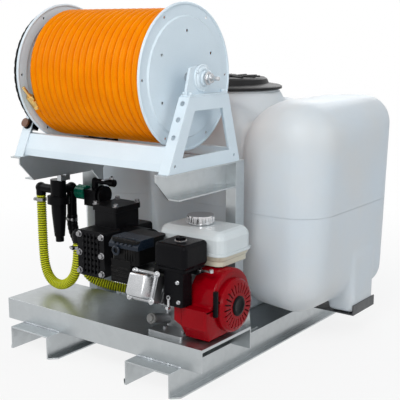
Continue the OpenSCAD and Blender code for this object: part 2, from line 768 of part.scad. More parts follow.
// Engine
module engine_block() color("#8a8c90") {
    at_engine() difference() {
        union() {
            round_block([-base_left, base_front, 0], [block_half, base_back, base_t], 10);
            round_block([-block_half, case_front, base_t], [block_half, case_back, crank_h + 46], 16);
            translate([0, 0, crank_h]) rod_x(46, -block_half, block_half + 18);
            box([-40, 20, crank_h + 40], [40, case_back, tank_low]);
            translate(dip_at) rotate([dip_lean, 0, 0]) rod_z(17, dip_boss[0], dip_boss[1]);
        }
        translate([0, 0, crank_h]) rod_x(crank_r + run_fit, -block_half - 1, block_half + 40);
        for (x = [-1, 1] * bolt_half_x, y = [bolt_front, bolt_back])
            translate([x, y, 0]) rod_z(bolt_r + clear, -1, base_t + 1);
        translate(dip_at) rotate([dip_lean, 0, 0]) rod_z(9, dip_boss[0] + 6, dip_boss[1] + 1);
    }
    at_cylinder() {
        rod_z(41, 62, head_at);
        for (i = [0 : 6]) translate([0, 0, 84 + 13 * i]) round_block([-50, -46, 0], [50, 50, 5], 12);
        round_block([-50, -48, head_at - 4], [50, 52, head_at + head_t], 10);
    }
}
module valve_cover() color("silver") at_cylinder() {
    seat = head_at + head_t;
    translate([0, 0, seat]) linear_extrude(6) {
        round_rect([-46, -44], [46, 48], 9);
        for (x = [-46, 46], y = [-42, 46]) translate([x, y]) circle(11);
    }
    difference() {
        soft_box([-36, -36, seat - 22], [36, 40, seat + 42], 14, 16);
        box([-60, -60, seat - 40], [60, 60, seat]);
    }
}
module fuel_tank() color("ivory") at_engine() {
    difference() {
        union() {
            soft_box([fuel_lo[0], fuel_lo[1], tank_seam - 34], [fuel_hi[0], fuel_hi[1], tank_high], 34, 16);
            round_block([fuel_lo[0] - 5, fuel_lo[1] - 5, tank_seam - 4], [fuel_hi[0] + 5, fuel_hi[1] + 5, tank_seam + 4], 38);
            round_block([fuel_lo[0] + 10, fuel_lo[1] + 10, tank_low], [fuel_hi[0] - 10, fuel_hi[1] - 10, tank_seam + 10], 26);
            translate(fuel_neck) rod_z(cap_d / 2 - 8, tank_high - 20, tank_high + 10);
        }
        translate(fuel_neck) rod_z(cap_d / 2 - 13, tank_low + 40, tank_high + 20);
    }
}
module fuel_cap() color("#303030") at_engine() translate(fuel_neck) difference() {
    union() {
        rod_z(cap_d / 2, tank_high + 2, tank_high + cap_h);
        for (i = [0 : 23]) rotate(15 * i) translate([cap_d / 2 - 1, 0, 0]) rod_z(3, tank_high + 5, tank_high + cap_h - 5);
    }
    rod_z(cap_d / 2 - 8 + clear, tank_high, tank_high + 12);
}
// Outline of the fan shroud: round about the crank, drawn out low at the front
module shroud_outline(wall) {
    low = 10 - crank_h + wall;
    circle(recoil_r + 7 - wall);
    translate([0, 14]) circle(recoil_r + 17 - wall);
    polygon([
        [flap_y + wall, -52], [flap_y + 28, low], [0, low], [0, 60], [-60, 60], [-95, 12 - wall], [flap_y + wall, 12 - wall]
    ]);
}
module fan_shroud() color("crimson") at_crank() {
    difference() {
        rotate([90, 0, 90]) translate([0, 0, block_half + clear]) linear_extrude(shroud_x1 - block_half - clear)
            shroud_outline(0);
        rotate([90, 0, 90]) translate([0, 0, block_half + 6]) linear_extrude(shroud_x1 - block_half - 6 - shroud_wall)
            shroud_outline(shroud_wall);
        rod_x(80, 0, shroud_x1 + 1);
        box([block_half, flap_y + 4, -60], [block_half + 7, -90, 8]);
    }
    // Flap over the front, cut off low beside the base
    plate_xz([[34, -38], [85, -52], [shroud_x1, -52], [shroud_x1, 12], [34, 12]], flap_y, flap_y + shroud_wall);
}
module recoil_cover() color("crimson") at_crank() difference() {
    turn_x() polygon([
        [recoil_r, shroud_x1], [recoil_r, shroud_x1 + 12], [recoil_r - 6, shroud_x1 + 20], [recoil_r - 20, shroud_x1 + 26],
        [0, shroud_x1 + 26], [0, shroud_x1 + 22], [recoil_r - 22, shroud_x1 + 22], [recoil_r - 9, shroud_x1 + 17],
        [recoil_r - 4, shroud_x1 + 10], [recoil_r - 4, shroud_x1]
    ]);
    for (i = [0 : 23]) rotate([15 * i, 0, 0]) box([shroud_x1 + 16, -2.2, 44], [shroud_x1 + 30, 2.2, recoil_r - 14]);
    translate([shroud_x1 + 8, 0, grip_z]) rod_y(3.5, -recoil_r - 5, -recoil_r + 24);
}
module recoil_grip() color("#151515") at_crank() translate([shroud_x1 + 8, 0, grip_z]) {
    round_block([clear - 8, -recoil_r - 22, -42], [7, -recoil_r - 4, 42], 6);
    rod_y(2, -recoil_r - 5, -10);
}
module air_cleaner() color("#181818") at_engine() {
    soft_box([-27, -182, cleaner_low + 7], [104, -54, cleaner_top], 15, 16);
    round_block([-19, -175, cleaner_low], [96, -62, cleaner_low + 18], 9);
    translate(cleaner_mid) rod_z(14, cleaner_top - 6, cleaner_top + 2);
    translate(cleaner_mid) rod_z(4, cleaner_top - 6, cleaner_top + 14);
}
module air_cleaner_knob() color("#282828") at_engine() translate(cleaner_mid + [0, 0, cleaner_top + 2 + clear])
    linear_extrude(9 - clear) difference() {
        union() {
            circle(12);
            for (i = [0 : 4]) rotate(72 * i + 20) translate([12, 0]) circle(5);
        }
        circle(4 + run_fit);
    }
module carburetor() color("#202020") at_engine() {
    round_block([6, carb_front, crank_h + 16], [82, carb_back, cleaner_low], 8);
    box([20, carb_back - 6, 125], [48, case_front, 155]);
    box([70, carb_back - 4, throttle_at[2] - 6], [104, -72, throttle_at[2]]);
    translate(throttle_at) rod_z(3, 0, 8);
    translate(choke_at) rod_y(3, -8, 0);
}
module throttle_lever() color("silver") at_engine() translate(throttle_at + [0, 0, clear]) difference() {
    union() {
        rod_z(9, 0, 3);
        box([0, -5, 0], [46, 5, 3]);
        translate([46, 0, 0]) rod_z(7, 0, 10);
    }
    rod_z(3 + run_fit, -1, 12);
}
module choke_lever() color("silver") at_engine() translate(choke_at) difference() {
    union() {
        rod_y(8, -6, -clear);
        box([-4, -6, -34], [4, -clear, 0]);
        translate([0, 0, -34]) rod_y(6, -14, -clear);
    }
    rod_y(3 + run_fit, -20, 1);
}
module oil_dipstick() color("#6f7478") at_engine() translate(dip_at) rotate([dip_lean, 0, 0]) {
    rod_z(18, dip_boss[1] + clear, dip_boss[1] + 10);
    rod_z(12, dip_boss[1] + 10, dip_boss[1] + 18);
    rod_z(3, dip_boss[0] + 26, dip_boss[1] + 1);
}
module engine_bolts() color("silver") at_engine()
    for (x = [-1, 1] * bolt_half_x, y = [bolt_front, bolt_back]) translate([x, y, 0]) {
        rod_z(bolt_r, -deck_t - 4, base_t);
        rod_z(9, base_t, base_t + 7, $fn = 6);
        translate([0, 0, -deck_t - 8]) rod_z(9, 0, 8, $fn = 6);
    }
module crankshaft() color("silver") at_crank() {
    rod_x(crank_r, -block_half - 30, shroud_x1 - 10);
    rod_x(74, block_half + 24, block_half + 56);
    for (i = [0 : 15]) rotate([22.5 * i, 0, 0])
        box([block_half + 54, -1.5, 44], [block_half + 70, 1.5, 72]);
    rod_x(30, block_half + 56, shroud_x1 - 6);
}
module muffler() color("#141414") {
    pipe_r = 14;
    pipe_out = -72;
    port = [10, head_at + 10];
    pipe_y = port[0] * sin(cylinder_lean) - port[1] * cos(cylinder_lean);
    pipe_z = crank_h + port[0] * cos(cylinder_lean) + port[1] * sin(cylinder_lean);
    lid = [4, 4, 0];
    at_engine() {
        round_block(muffler_lo, muffler_hi, 14);
        round_block([muffler_lo[0], muffler_lo[1], muffler_hi[2]] - lid, muffler_hi + lid + [0, 0, 8], 16);
        translate([muffler_lo[0] + 30, muffler_lo[1], muffler_hi[2] - 31]) rod_y(pipe_r, -10, 6);
        for (i = [0 : 4])
            translate([muffler_lo[0] + 56 + 11 * i, muffler_lo[1], 0]) box([0, -3, muffler_lo[2] + 14], [5, 2, muffler_hi[2] - 12]);
        translate([cylinder_x + pipe_out, pipe_y, 0]) rod_z(pipe_r, pipe_z - 2, muffler_lo[2] + 4);
    }
    at_cylinder() translate([0, port[0], port[1]]) {
        rod_x(pipe_r, pipe_out, -50);
        translate([pipe_out, 0, 0]) sphere(pipe_r);
    }
}

// Pump
module gearbox() color("#202226") at_engine() difference() {
    union() {
        translate([0, 0, crank_h]) rod_x(54, gear_arm_x, -block_half);
        translate([0, pump_axis[0], pump_axis[1]]) rod_x(62, gear_x0, gear_x1);
        plate_yz([
            [-38, crank_h + 38], [46, crank_h - 28], [pump_axis[0] + 44, pump_axis[1] - 44],
            [pump_axis[0] - 44, pump_axis[1] + 44]
        ], gear_arm_x, gear_x1);
    }
    translate([0, 0, crank_h]) rod_x(crank_r + 6, -block_half - 34, -block_half + 1);
}
module pump_body() color("#161616") at_pump() {
    turn_x() polygon([
        [0, gear_x0], [66, gear_x0], [66, gear_x0 - 14], [54, gear_x0 - 22], [54, gear_x0 - 60], [pump_r, gear_x0 - 84],
        [pump_r, pump_x0 + 26], [pump_r - 20, pump_x0], [0, pump_x0]
    ]);
}
module pump_heads() color("#1a1a1a") at_pump() {
    front_face = -145;
    // Ribbed head at the front
    difference() {
        round_block_y([pump_mid - 65, front_face, -84], [pump_mid + 65, -pump_r + 30, 85], 12);
        rod_x(pump_r + run_fit, pump_x0 - 90, gear_x0);
        for (i = [0 : 6]) box([pump_mid - 44, front_face - 1, -70 + 21 * i], [pump_mid + 44, front_face + 10, -60 + 21 * i]);
    }
    for (x = [-1, 1] * 54, z = [-68, 0, 68]) translate([pump_mid + x, 0, z]) rod_y(8, front_face - 8, front_face, $fn = 6);
    // Top head
    difference() {
        union() {
            round_block([pump_mid - 55, -69, 60], [pump_mid + 55, 63, 150], 10);
            round_block([pump_mid - 60, -74, 144], [pump_mid + 60, 68, 164], 12);
        }
        rod_x(pump_r + run_fit, pump_x0 - 90, gear_x0);
    }
    for (x = [-1, 1] * 49, y = [-62, 56]) translate([pump_mid + x, y, 0]) rod_z(7, 164, 171, $fn = 6);
    // Rear head
    difference() {
        round_block_y([pump_mid - 60, pump_r - 30, -78], [pump_mid + 60, 130, 78], 12);
        rod_x(pump_r + run_fit, pump_x0 - 90, gear_x0);
    }
    // Inlet elbow for the suction hose
    translate([0, inlet_y, inlet_z]) rod_x(17, inlet_x, pump_mid - 65);
    translate([inlet_x, inlet_y, inlet_z]) sphere(hose_seat_r + 2);
    translate([inlet_x, inlet_y, 0]) rod_z(hose_seat_r, inlet_z - inlet_drop, inlet_z);
    translate([inlet_x, inlet_y, 0]) rod_z(barb_r, inlet_z - inlet_drop - 30, inlet_z - inlet_drop);
}
module round_block_y(low, high, r)
    translate([0, high[1], 0]) rotate([90, 0, 0])
        linear_extrude(high[1] - low[1]) round_rect([low[0], low[2]], [high[0], high[2]], r);

// Controls under the left arm
module at_control() translate([0, control_y, control_z]) children();
module strainer_bracket() color("lightsteelblue") {
    inner = -arm_x;
    outer = -arm_x - arm_flange;
    y0 = front + strainer_at[1] - 24;
    box([outer, y0, arm_low - bracket_t], [inner, control_plate_y + bracket_t + 1, arm_low]);
    box([outer, y0, strainer_top], [outer + 20, y0 + 48, arm_low - bracket_t / 2]);
    plate_xz([
        [outer, arm_low - bracket_t / 2], [inner, arm_low - bracket_t / 2], [control_plate_x[1], control_z + 20],
        [control_plate_x[1], control_z - 44], [control_plate_x[0], control_z - 44], [outer, control_z + 36]
    ], control_plate_y, control_plate_y + bracket_t);
}
module strainer_head() color("#181818") translate([strainer_at[0], front + strainer_at[1], strainer_top]) {
    rod_z(30, bowl_top + 20, 0);
    rod_z(bowl_d / 2 + 14, bowl_top, bowl_top + 30);
    translate([0, 0, port_z]) rod_x(17, -port_reach, 0);
    translate([0, 0, port_z]) rod_y(17, 0, port_back);
    for (port = [[-port_reach, 0, port_drop], [0, port_back, back_drop]]) translate([port[0], port[1], 0]) {
        translate([0, 0, port_z]) sphere(hose_seat_r + 2);
        rod_z(hose_seat_r, -port[2], port_z);
        rod_z(barb_r, -port[2] - 30, -port[2]);
    }
}
module strainer_bowl() color("#101010") translate([strainer_at[0], front + strainer_at[1], strainer_top]) rotate_extrude()
    polygon([
        [0, bowl_top], [bowl_d / 2, bowl_top], [bowl_d / 2 - 1, bowl_top - 36], [bowl_d / 2 - 9, bowl_top - bowl_len + 22],
        [bowl_d / 2 - 13, bowl_top - bowl_len + 18], [bowl_d / 2 - 13, bowl_top - bowl_len], [0, bowl_top - bowl_len]
    ]);
module manifold() color("#161616") {
    at_control() {
        round_block([-300, -24, -30], [-228, control_plate_y - control_y, 32], 8);
        translate(pipe_at) {
            rod_z(13, 30 - pipe_at[2], 0);
            sphere(13);
            rod_x(10, 0, 104);
            rod_x(14, valve_x - 13 - pipe_at[0], valve_x + 13 - pipe_at[0]);
        }
        translate([valve_x, pipe_at[1], pipe_at[2]]) rod_z(valve_stem_r, 0, 26);
        translate([0, 0, 14]) rod_x(6, -326, -300);
        translate([0, -8, 16]) rod_x(5, -228, -212);
    }
}
module pressure_knob() color("teal") at_control() translate([0, 0, 14]) difference() {
    union() {
        turn_x() polygon([[0, -354], [21, -354], [25, -349], [27, -314], [27, -300 - clear], [0, -300 - clear]]);
        for (i = [0 : 11]) rotate([30 * i, 0, 0]) translate([0, 26.5, 0]) rod_x(2.5, -345, -302);
    }
    rod_x(6 + run_fit, -326 - clear, -290);
}
module bypass_knob() color("#121212") at_control() translate([0, -8, 16]) difference() {
    union() {
        rod_x(bypass_r, -224, -218);
        rod_x(22, -218, -206);
        rod_x(bypass_r, -206, -198);
    }
    rod_x(5 + run_fit, -228, -212 + clear);
}
module valve_lever() color("silver") at_control() translate([valve_x, pipe_at[1], pipe_at[2]]) difference() {
    union() {
        rod_z(9, 14 + clear, 22);
        box([-6, -50, 16], [6, 0, 19]);
    }
    rod_z(valve_stem_r + run_fit, 0, 40);
}

// Ribbed hoses: rings of eight points, two to a rib, with a plain bore
function unit(v) = v / norm(v);
function spline(a, b, c, d, t) =
    0.5 * (2 * b + (c - a) * t + (2 * a - 5 * b + 4 * c - d) * t * t + (3 * b - a - 3 * c + d) * t * t * t);
// Point a share t of the way along a smooth curve through the route
function on_route(p, t) =
    let (n = len(p) - 1, k = min(floor(t * n), n - 1), u = t * n - k)
    spline(p[max(k - 1, 0)], p[k], p[k + 1], p[min(k + 2, n)], u);
// Rings stand square to the route, the first and last square to the ends
function route_along(p, t) = unit(on_route(p, min(t + 0.004, 1)) - on_route(p, max(t - 0.004, 0)));
function hose_ring(p, t, r) =
    let (along = route_along(p, t), side = unit(cross(along, [0.35, 1, 0.1])), over = cross(side, along))
    [for (k = [0 : 7]) on_route(p, t) + [0, front, 0] + r * (cos(45 * k) * side + sin(45 * k) * over)];
// Faces of a tube with a bore: its outer rings come first in the points, then the rings of the bore
function bored_faces(outer, inner) =
    let (m = 8 * outer, e = m - 8, f = m + 8 * (inner - 1))
    [
        for (s = [0 : 7])
            let (q = (s + 1) % 8)
            each [
                for (i = [0 : 8 : e - 8]) each [[i + s, i + 8 + s, i + q], [i + q, i + 8 + s, i + 8 + q]],
                for (i = [m : 8 : f - 8]) each [[i + s, i + q, i + 8 + s], [i + q, i + 8 + q, i + 8 + s]],
                [s, q, m + s], [q, m + q, m + s], [e + s, f + s, e + q], [e + q, f + s, f + q]
            ]
    ];
module ribbed_hose(route, ribs) {
    bore_steps = 2 * (len(route) - 1);
    points = [
        for (i = [0 : 2 * ribs]) each hose_ring(route, i / ribs / 2, rib_hose_d / 2 - (i % 2 == 0 ? rib_deep : 0)),
        for (i = [0 : bore_steps]) each hose_ring(route, i / bore_steps, bore_r)
    ];
    polyhedron(points, bored_faces(2 * ribs + 1, bore_steps + 1), convexity = 8);
}
module suction_hose() color("yellowgreen") ribbed_hose(suction_route, suction_ribs);
module tank_hose() color("yellowgreen") ribbed_hose(tank_hose_route, tank_hose_ribs);
// Worm drive clamp: a band with its screw housing, round a hose that runs along Z
module clamp() difference() {
    union() {
        rod_z(rib_hose_d / 2 + 2, 0, 12);
        box([rib_hose_d / 2, -9, 0], [rib_hose_d / 2 + 9, 9, 12]);
        translate([rib_hose_d / 2 + 5, 0, 6]) rod_y(5, -14, 12);
    }
    rod_z(rib_hose_d / 2 + clear, -1, 13);
}
module hose_clamps() color("silver") translate([0, front, 0]) {
    translate(suction_route[0] - [0, 0, 24]) rotate(200) clamp();
    translate(suction_route[len(suction_route) - 1] - [0, 0, 24]) rotate(250) clamp();
    translate(tank_hose_route[0] - [0, 0, 24]) rotate(180) clamp();
    translate(tank_hose_route[len(tank_hose_route) - 1] - [0, 12, 0]) rotate([90, 0, 0]) rotate(90) clamp();
}

left_rail();
right_rail();
engine_deck();
tank_crossmember();
left_post();
right_post();
left_arm();
right_arm();
tank_shell();
tank_lid();
lid_hinge_pin();
tank_outlet();
left_side_frame();
right_side_frame();
front_bar();
rear_bar();
left_bearing();
right_bearing();
left_disc();
right_disc();
drum();
reel_shaft();
hose_core();
hose_winding();
hose_end_fitting();
drive_sprocket();
motor_sprocket();
rewind_motor();
drive_chain();
switch_box();
rewind_button();
engine_block();
valve_cover();
muffler();
air_cleaner();
air_cleaner_knob();
fuel_tank();
fuel_cap();
fan_shroud();
recoil_cover();
recoil_grip();
carburetor();
throttle_lever();
choke_lever();
oil_dipstick();
engine_bolts();
crankshaft();
gearbox();
pump_body();
pump_heads();
manifold();
pressure_knob();
bypass_knob();
valve_lever();
strainer_bracket();
strainer_head();
strainer_bowl();
suction_hose();
tank_hose();
hose_clamps();
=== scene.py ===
import math

import bmesh
import bpy
from mathutils import Matrix, Vector


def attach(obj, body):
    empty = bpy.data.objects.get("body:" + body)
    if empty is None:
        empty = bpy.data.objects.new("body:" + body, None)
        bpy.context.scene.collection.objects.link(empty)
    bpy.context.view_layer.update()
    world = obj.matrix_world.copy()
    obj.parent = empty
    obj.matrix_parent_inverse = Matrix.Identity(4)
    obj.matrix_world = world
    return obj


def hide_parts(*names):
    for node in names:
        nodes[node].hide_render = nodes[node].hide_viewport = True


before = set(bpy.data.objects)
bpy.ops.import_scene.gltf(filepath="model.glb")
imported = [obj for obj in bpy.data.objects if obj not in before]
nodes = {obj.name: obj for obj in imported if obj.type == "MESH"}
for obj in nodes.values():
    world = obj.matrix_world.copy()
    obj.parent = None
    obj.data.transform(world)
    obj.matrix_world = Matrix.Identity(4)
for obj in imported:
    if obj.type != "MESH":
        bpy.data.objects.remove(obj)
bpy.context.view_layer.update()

scene = bpy.context.scene
scene.view_settings.view_transform = "Standard"

# Directions
UP = Vector((0, 0, 1))
AHEAD = Vector((0, -1, 0))
TO_RIGHT = Vector((1, 0, 0))

# Places shared with the construction, in metres
FRONT = -0.540
DECK_DEPTH = 0.283
DECK_TOP = 0.163
RAIL_TOP = 0.084
RAIL_X = 0.280
POST_X = (0.313, 0.355)
POST_Y = (-0.205, -0.155)
REEL = Vector((0, -0.375, 1.010))
PINION = REEL + Vector((-0.2925, 0.084, -0.282))
ENGINE = Vector((0.290, -0.362, DECK_TOP))
CRANK = ENGINE + Vector((0, 0, 0.106))
CYLINDER = Matrix.Translation(CRANK + Vector((-0.050, 0, 0))) @ Matrix.Rotation(math.radians(70), 4, "X")
PUMP = Vector((-0.115, -0.295, 0.368))
TANK = Vector((0, -0.060, RAIL_TOP))
MOUTH = Vector((0, 0.260, RAIL_TOP))


# camera
def photo_camera():
    """Camera that stands where the photo was taken from."""
    stand = Vector((1.987, -2.605, 1.171))
    forward = Vector((-0.585, 0.786, -0.198)).normalized()
    data = bpy.data.cameras.new("photo_camera")
    data.lens = 77.1
    data.sensor_width = 36
    data.clip_end = 60
    camera = bpy.data.objects.new("photo_camera", data)
    scene.collection.objects.link(camera)
    right = forward.cross(UP).normalized()
    turn = Matrix((right, right.cross(forward), -forward)).transposed().to_4x4()
    camera.matrix_world = Matrix.Translation(stand) @ turn
    scene.camera = camera


# modelling helpers
def put_down():
    """Leaves edit mode, with nothing picked."""
    if bpy.context.object and bpy.context.object.mode != "OBJECT":
        bpy.ops.object.mode_set(mode="OBJECT")
    bpy.ops.object.select_all(action="DESELECT")


def hold(obj):
    """Makes one object the picked and active one."""
    put_down()
    obj.select_set(True)
    bpy.context.view_layer.objects.active = obj


def into_mesh(obj, place=None):
    """Puts the object's place, and any further one, into its mesh."""
    hold(obj)
    bpy.ops.object.transform_apply(location=True, rotation=True, scale=True)
    if place is not None:
        obj.data.transform(place)
    return obj


def applied(obj, tool):
    """Works a modifier into the mesh."""
    hold(obj)
    bpy.ops.object.modifier_apply(modifier=tool.name)
    return obj


def edit(obj):
    hold(obj)
    bpy.ops.object.mode_set(mode="EDIT")


def pick_all():
    bpy.ops.mesh.select_all(action="SELECT")


def pick(obj, test, kind="FACE"):
    """Selects the faces, edges or points whose middle and normal, or an edge's direction, pass the test."""
    bpy.ops.mesh.select_mode(type=kind)
    bpy.ops.mesh.select_all(action="DESELECT")
    mesh = bmesh.from_edit_mesh(obj.data)
    if kind == "FACE":
        for face in mesh.faces:
            face.select_set(bool(test(face.calc_center_median(), face.normal)))
    elif kind == "EDGE":
        for edge in mesh.edges:
            a, b = edge.verts
            edge.select_set(bool(test((a.co + b.co) / 2, (b.co - a.co).normalized())))
    else:
        for point in mesh.verts:
            point.select_set(bool(test(point.co, point.normal)))
    mesh.select_flush_mode()
    bmesh.update_edit_mesh(obj.data)


def block(low, high):
    put_down()
    bpy.ops.mesh.primitive_cube_add(size=1)
    obj = bpy.context.object
    low, high = Vector(low), Vector(high)
    obj.scale = high - low
    obj.location = (low + high) / 2
    return into_mesh(obj)


def soft_block(low, high, radius, segments):
    """Block with all its edges rounded."""
    obj = block(low, high)
    edit(obj)
    pick_all()
    bpy.ops.mesh.bevel(offset=radius, segments=segments, affect="EDGES", profile=0.5)
    put_down()
    return obj


def bar(radius, start, end, sides):
    """Round bar between two points."""
    put_down()
    start, end = Vector(start), Vector(end)
    bpy.ops.mesh.primitive_cylinder_add(vertices=sides, radius=radius, depth=(end - start).length)
    turn = UP.rotation_difference(end - start).to_matrix().to_4x4()
    return into_mesh(bpy.context.object, Matrix.Translation((start + end) / 2) @ turn)


def round_rims(obj, radius):
    """Rounds the sharp edges."""
    tool = obj.modifiers.new("rims", "BEVEL")
    tool.width = radius
    tool.segments = 2
    tool.angle_limit = math.radians(40)
    return applied(obj, tool)


def blank():
    """Empty mesh in edit mode, to draw points and edges in."""
    put_down()
    bpy.ops.mesh.primitive_plane_add(size=1)
    obj = bpy.context.object
    edit(obj)
    mesh = bmesh.from_edit_mesh(obj.data)
    bmesh.ops.delete(mesh, geom=mesh.verts[:], context="VERTS")
    return obj, mesh


def turned(profile, steps, place):
    """Profile of radius and height spun about Z, then put in its place."""
    obj, mesh = blank()
    points = [mesh.verts.new((r, 0, z)) for r, z in profile]
    for ends in zip(points, points[1:]):
        mesh.edges.new(ends)
    bmesh.update_edit_mesh(obj.data)
    pick_all()
    bpy.ops.mesh.spin(steps=steps, angle=2 * math.pi, center=(0, 0, 0), axis=UP)
    pick_all()
    bpy.ops.mesh.remove_doubles(threshold=1e-5)
    bpy.ops.mesh.normals_make_consistent(inside=False)
    put_down()
    obj.data.transform(place)
    return obj


def tube(runs, radius, roundness):
    """Round tube along runs of points, each point with its share of the radius."""
    curve = bpy.data.curves.new("tube", "CURVE")
    curve.dimensions = "3D"
    curve.bevel_depth = radius
    curve.bevel_resolution = roundness
    curve.use_fill_caps = True
    for run in runs:
        spline = curve.splines.new("POLY")
        spline.points.add(len(run) - 1)
        for point, (at, share) in zip(spline.points, run):
            point.co = (*at, 1)
            point.radius = share
    obj = bpy.data.objects.new("tube", curve)
    scene.collection.objects.link(obj)
    hold(obj)
    bpy.ops.object.convert(target="MESH")
    return bpy.context.object


def pressed_row(obj, axis, starts, width, on_face, margin, depth):
    """Presses a row of slots, set along an axis, into or out of the faces whose normal passes a test."""
    way = Vector([float(k == axis) for k in range(3)])
    for start in starts:
        for cut in (start, start + width):
            pick_all()
            bpy.ops.mesh.bisect(plane_co=way * cut, plane_no=way)
    pick(obj, lambda at, n: on_face(n) and any(start < at[axis] < start + width for start in starts))
    bpy.ops.mesh.inset(thickness=margin, depth=depth, use_individual=True)


def joined(objs):
    put_down()
    for obj in objs:
        obj.select_set(True)
    bpy.context.view_layer.objects.active = objs[0]
    if len(objs) > 1:
        bpy.ops.object.join()
    return bpy.context.object


def copies(master, places):
    """One copy of a modelled shape for each place, each with its own mesh, joined to one piece."""
    made = []
    for place in places:
        copy = master.copy()
        copy.data = master.data.copy()
        copy.data.transform(place)
        scene.collection.objects.link(copy)
        made.append(copy)
    bpy.data.objects.remove(master)
    return joined(made)


def facing(axis, at, roll=0.0):
    """Place whose Z looks along an axis."""
    turn = UP.rotation_difference(Vector(axis)).to_matrix().to_4x4()
    return Matrix.Translation(at) @ turn @ Matrix.Rotation(roll, 4, "Z")


def piece(obj, name, body, material, replaces=(), angle=35):
    into_mesh(obj)
    obj.name = name
    obj.data.name = name
    obj.data.materials.clear()
    obj.data.materials.append(material)
    bpy.ops.object.shade_smooth_by_angle(angle=math.radians(angle))
    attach(obj, body)
    if replaces:
        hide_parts(*replaces)
    put_down()
    return obj


# shared effects of the finishes
def feed(tree, value, socket):
    """Puts a number or a colour on a socket, or links another socket to it."""
    if isinstance(value, (int, float)):
        socket.default_value = value
    elif isinstance(value, tuple):
        socket.default_value = (*value, 1)
    else:
        tree.links.new(value, socket)


def effect(name, inputs, outputs):
    """Node group with number inputs, and with outputs that are numbers apart from the normal."""
    tree = bpy.data.node_groups.new(name, "ShaderNodeTree")
    for label, value in inputs.items():
        socket = tree.interface.new_socket(label, in_out="INPUT", socket_type="NodeSocketFloat")
        socket.default_value = value
    for label in outputs:
        kind = "NodeSocketVector" if label == "Normal" else "NodeSocketFloat"
        tree.interface.new_socket(label, in_out="OUTPUT", socket_type=kind)
    return tree, tree.nodes.new("NodeGroupInput"), tree.nodes.new("NodeGroupOutput")


def maths(tree, operation, a, b, clamp=False):
    node = tree.nodes.new("ShaderNodeMath")
    node.operation = operation
    node.use_clamp = clamp
    feed(tree, a, node.inputs[0])
    feed(tree, b, node.inputs[1])
    return node.outputs[0]


def noise(tree, scale, detail):
    where = tree.nodes.new("ShaderNodeTexCoord")
    node = tree.nodes.new("ShaderNodeTexNoise")
    node.inputs["Detail"].default_value = detail
    tree.links.new(where.outputs["Object"], node.inputs["Vector"])
    feed(tree, scale, node.inputs["Scale"])
    return node.outputs["Fac"]


def spread_range(tree, value, low, high, out_low=0.0, out_high=1.0):
    node = tree.nodes.new("ShaderNodeMapRange")
    for label, number in (("From Min", low), ("From Max", high), ("To Min", out_low), ("To Max", out_high)):
        node.inputs[label].default_value = number
    tree.links.new(value, node.inputs["Value"])
    return node.outputs["Result"]


def make_rounded_edges():
    """Soft normals at the edges, and how far each edge is rubbed bare."""
    tree, into, out = effect("rounded_edges", {"Radius": 0.0015}, ["Normal", "Worn"])
    bevel = tree.nodes.new("ShaderNodeBevel")
    bevel.samples = 4
    tree.links.new(into.outputs["Radius"], bevel.inputs["Radius"])
    flat = tree.nodes.new("ShaderNodeNewGeometry")
    dot = tree.nodes.new("ShaderNodeVectorMath")
    dot.operation = "DOT_PRODUCT"
    tree.links.new(bevel.outputs["Normal"], dot.inputs[0])
    tree.links.new(flat.outputs["Normal"], dot.inputs[1])
    turn = maths(tree, "SUBTRACT", 1.0, dot.outputs["Value"])
    bare = maths(tree, "MULTIPLY", turn, 7.0, clamp=True)
    patch = spread_range(tree, noise(tree, scale=55, detail=4), 0.42, 0.62)
    tree.links.new(bevel.outputs["Normal"], out.inputs["Normal"])
    tree.links.new(maths(tree, "MULTIPLY", bare, patch, clamp=True), out.inputs["Worn"])
    return tree


def make_grain():
    """Broad blotches of tone and a fine speck."""
    tree, into, out = effect("grain", {"Blotch": 8.0, "Fine": 300.0}, ["Tone", "Speck"])
    broad = noise(tree, into.outputs["Blotch"], detail=4)
    tree.links.new(spread_range(tree, broad, 0.32, 0.68), out.inputs["Tone"])
    tree.links.new(noise(tree, into.outputs["Fine"], detail=2), out.inputs["Speck"])
    return tree


def make_settled_dust():
    """Patches of dust on what faces up."""
    tree, into, out = effect("settled_dust", {"Amount": 0.2}, ["Dust"])
    flat = tree.nodes.new("ShaderNodeNewGeometry")
    split = tree.nodes.new("ShaderNodeSeparateXYZ")
    tree.links.new(flat.outputs["Normal"], split.inputs[0])
    level = spread_range(tree, split.outputs["Z"], 0.1, 0.95)
    patch = spread_range(tree, noise(tree, scale=22, detail=5), 0.35, 0.75)
    lying = maths(tree, "MULTIPLY", level, patch)
    dust = maths(tree, "MULTIPLY", lying, into.outputs["Amount"], clamp=True)
    tree.links.new(dust, out.inputs["Dust"])
    return tree


def make_spangle():
    """Zinc crystals: cells of slightly different tone."""
    tree, into, out = effect("spangle", {"Scale": 70.0}, ["Tone"])
    where = tree.nodes.new("ShaderNodeTexCoord")
    cells = tree.nodes.new("ShaderNodeTexVoronoi")
    cells.inputs["Randomness"].default_value = 1.0
    tree.links.new(where.outputs["Object"], cells.inputs["Vector"])
    tree.links.new(into.outputs["Scale"], cells.inputs["Scale"])
    tone = tree.nodes.new("ShaderNodeSeparateColor")
    tree.links.new(cells.outputs["Color"], tone.inputs[0])
    tree.links.new(tone.outputs[0], out.inputs["Tone"])
    return tree


ROUNDED_EDGES = make_rounded_edges()
GRAIN = make_grain()
DUST = make_settled_dust()
SPANGLE = make_spangle()
DUST_COLOUR = (0.42, 0.38, 0.33)


def placed(tree, group, **values):
    node = tree.nodes.new("ShaderNodeGroup")
    node.node_tree = group
    for label, value in values.items():
        node.inputs[label].default_value = value
    return node


def blended(tree, share, a, b):
    """Colour that goes from a to b by a share."""
    node = tree.nodes.new("ShaderNodeMix")
    node.data_type = "RGBA"
    feed(tree, share, node.inputs[0])
    feed(tree, a, node.inputs[6])
    feed(tree, b, node.inputs[7])
    return node.outputs[2]


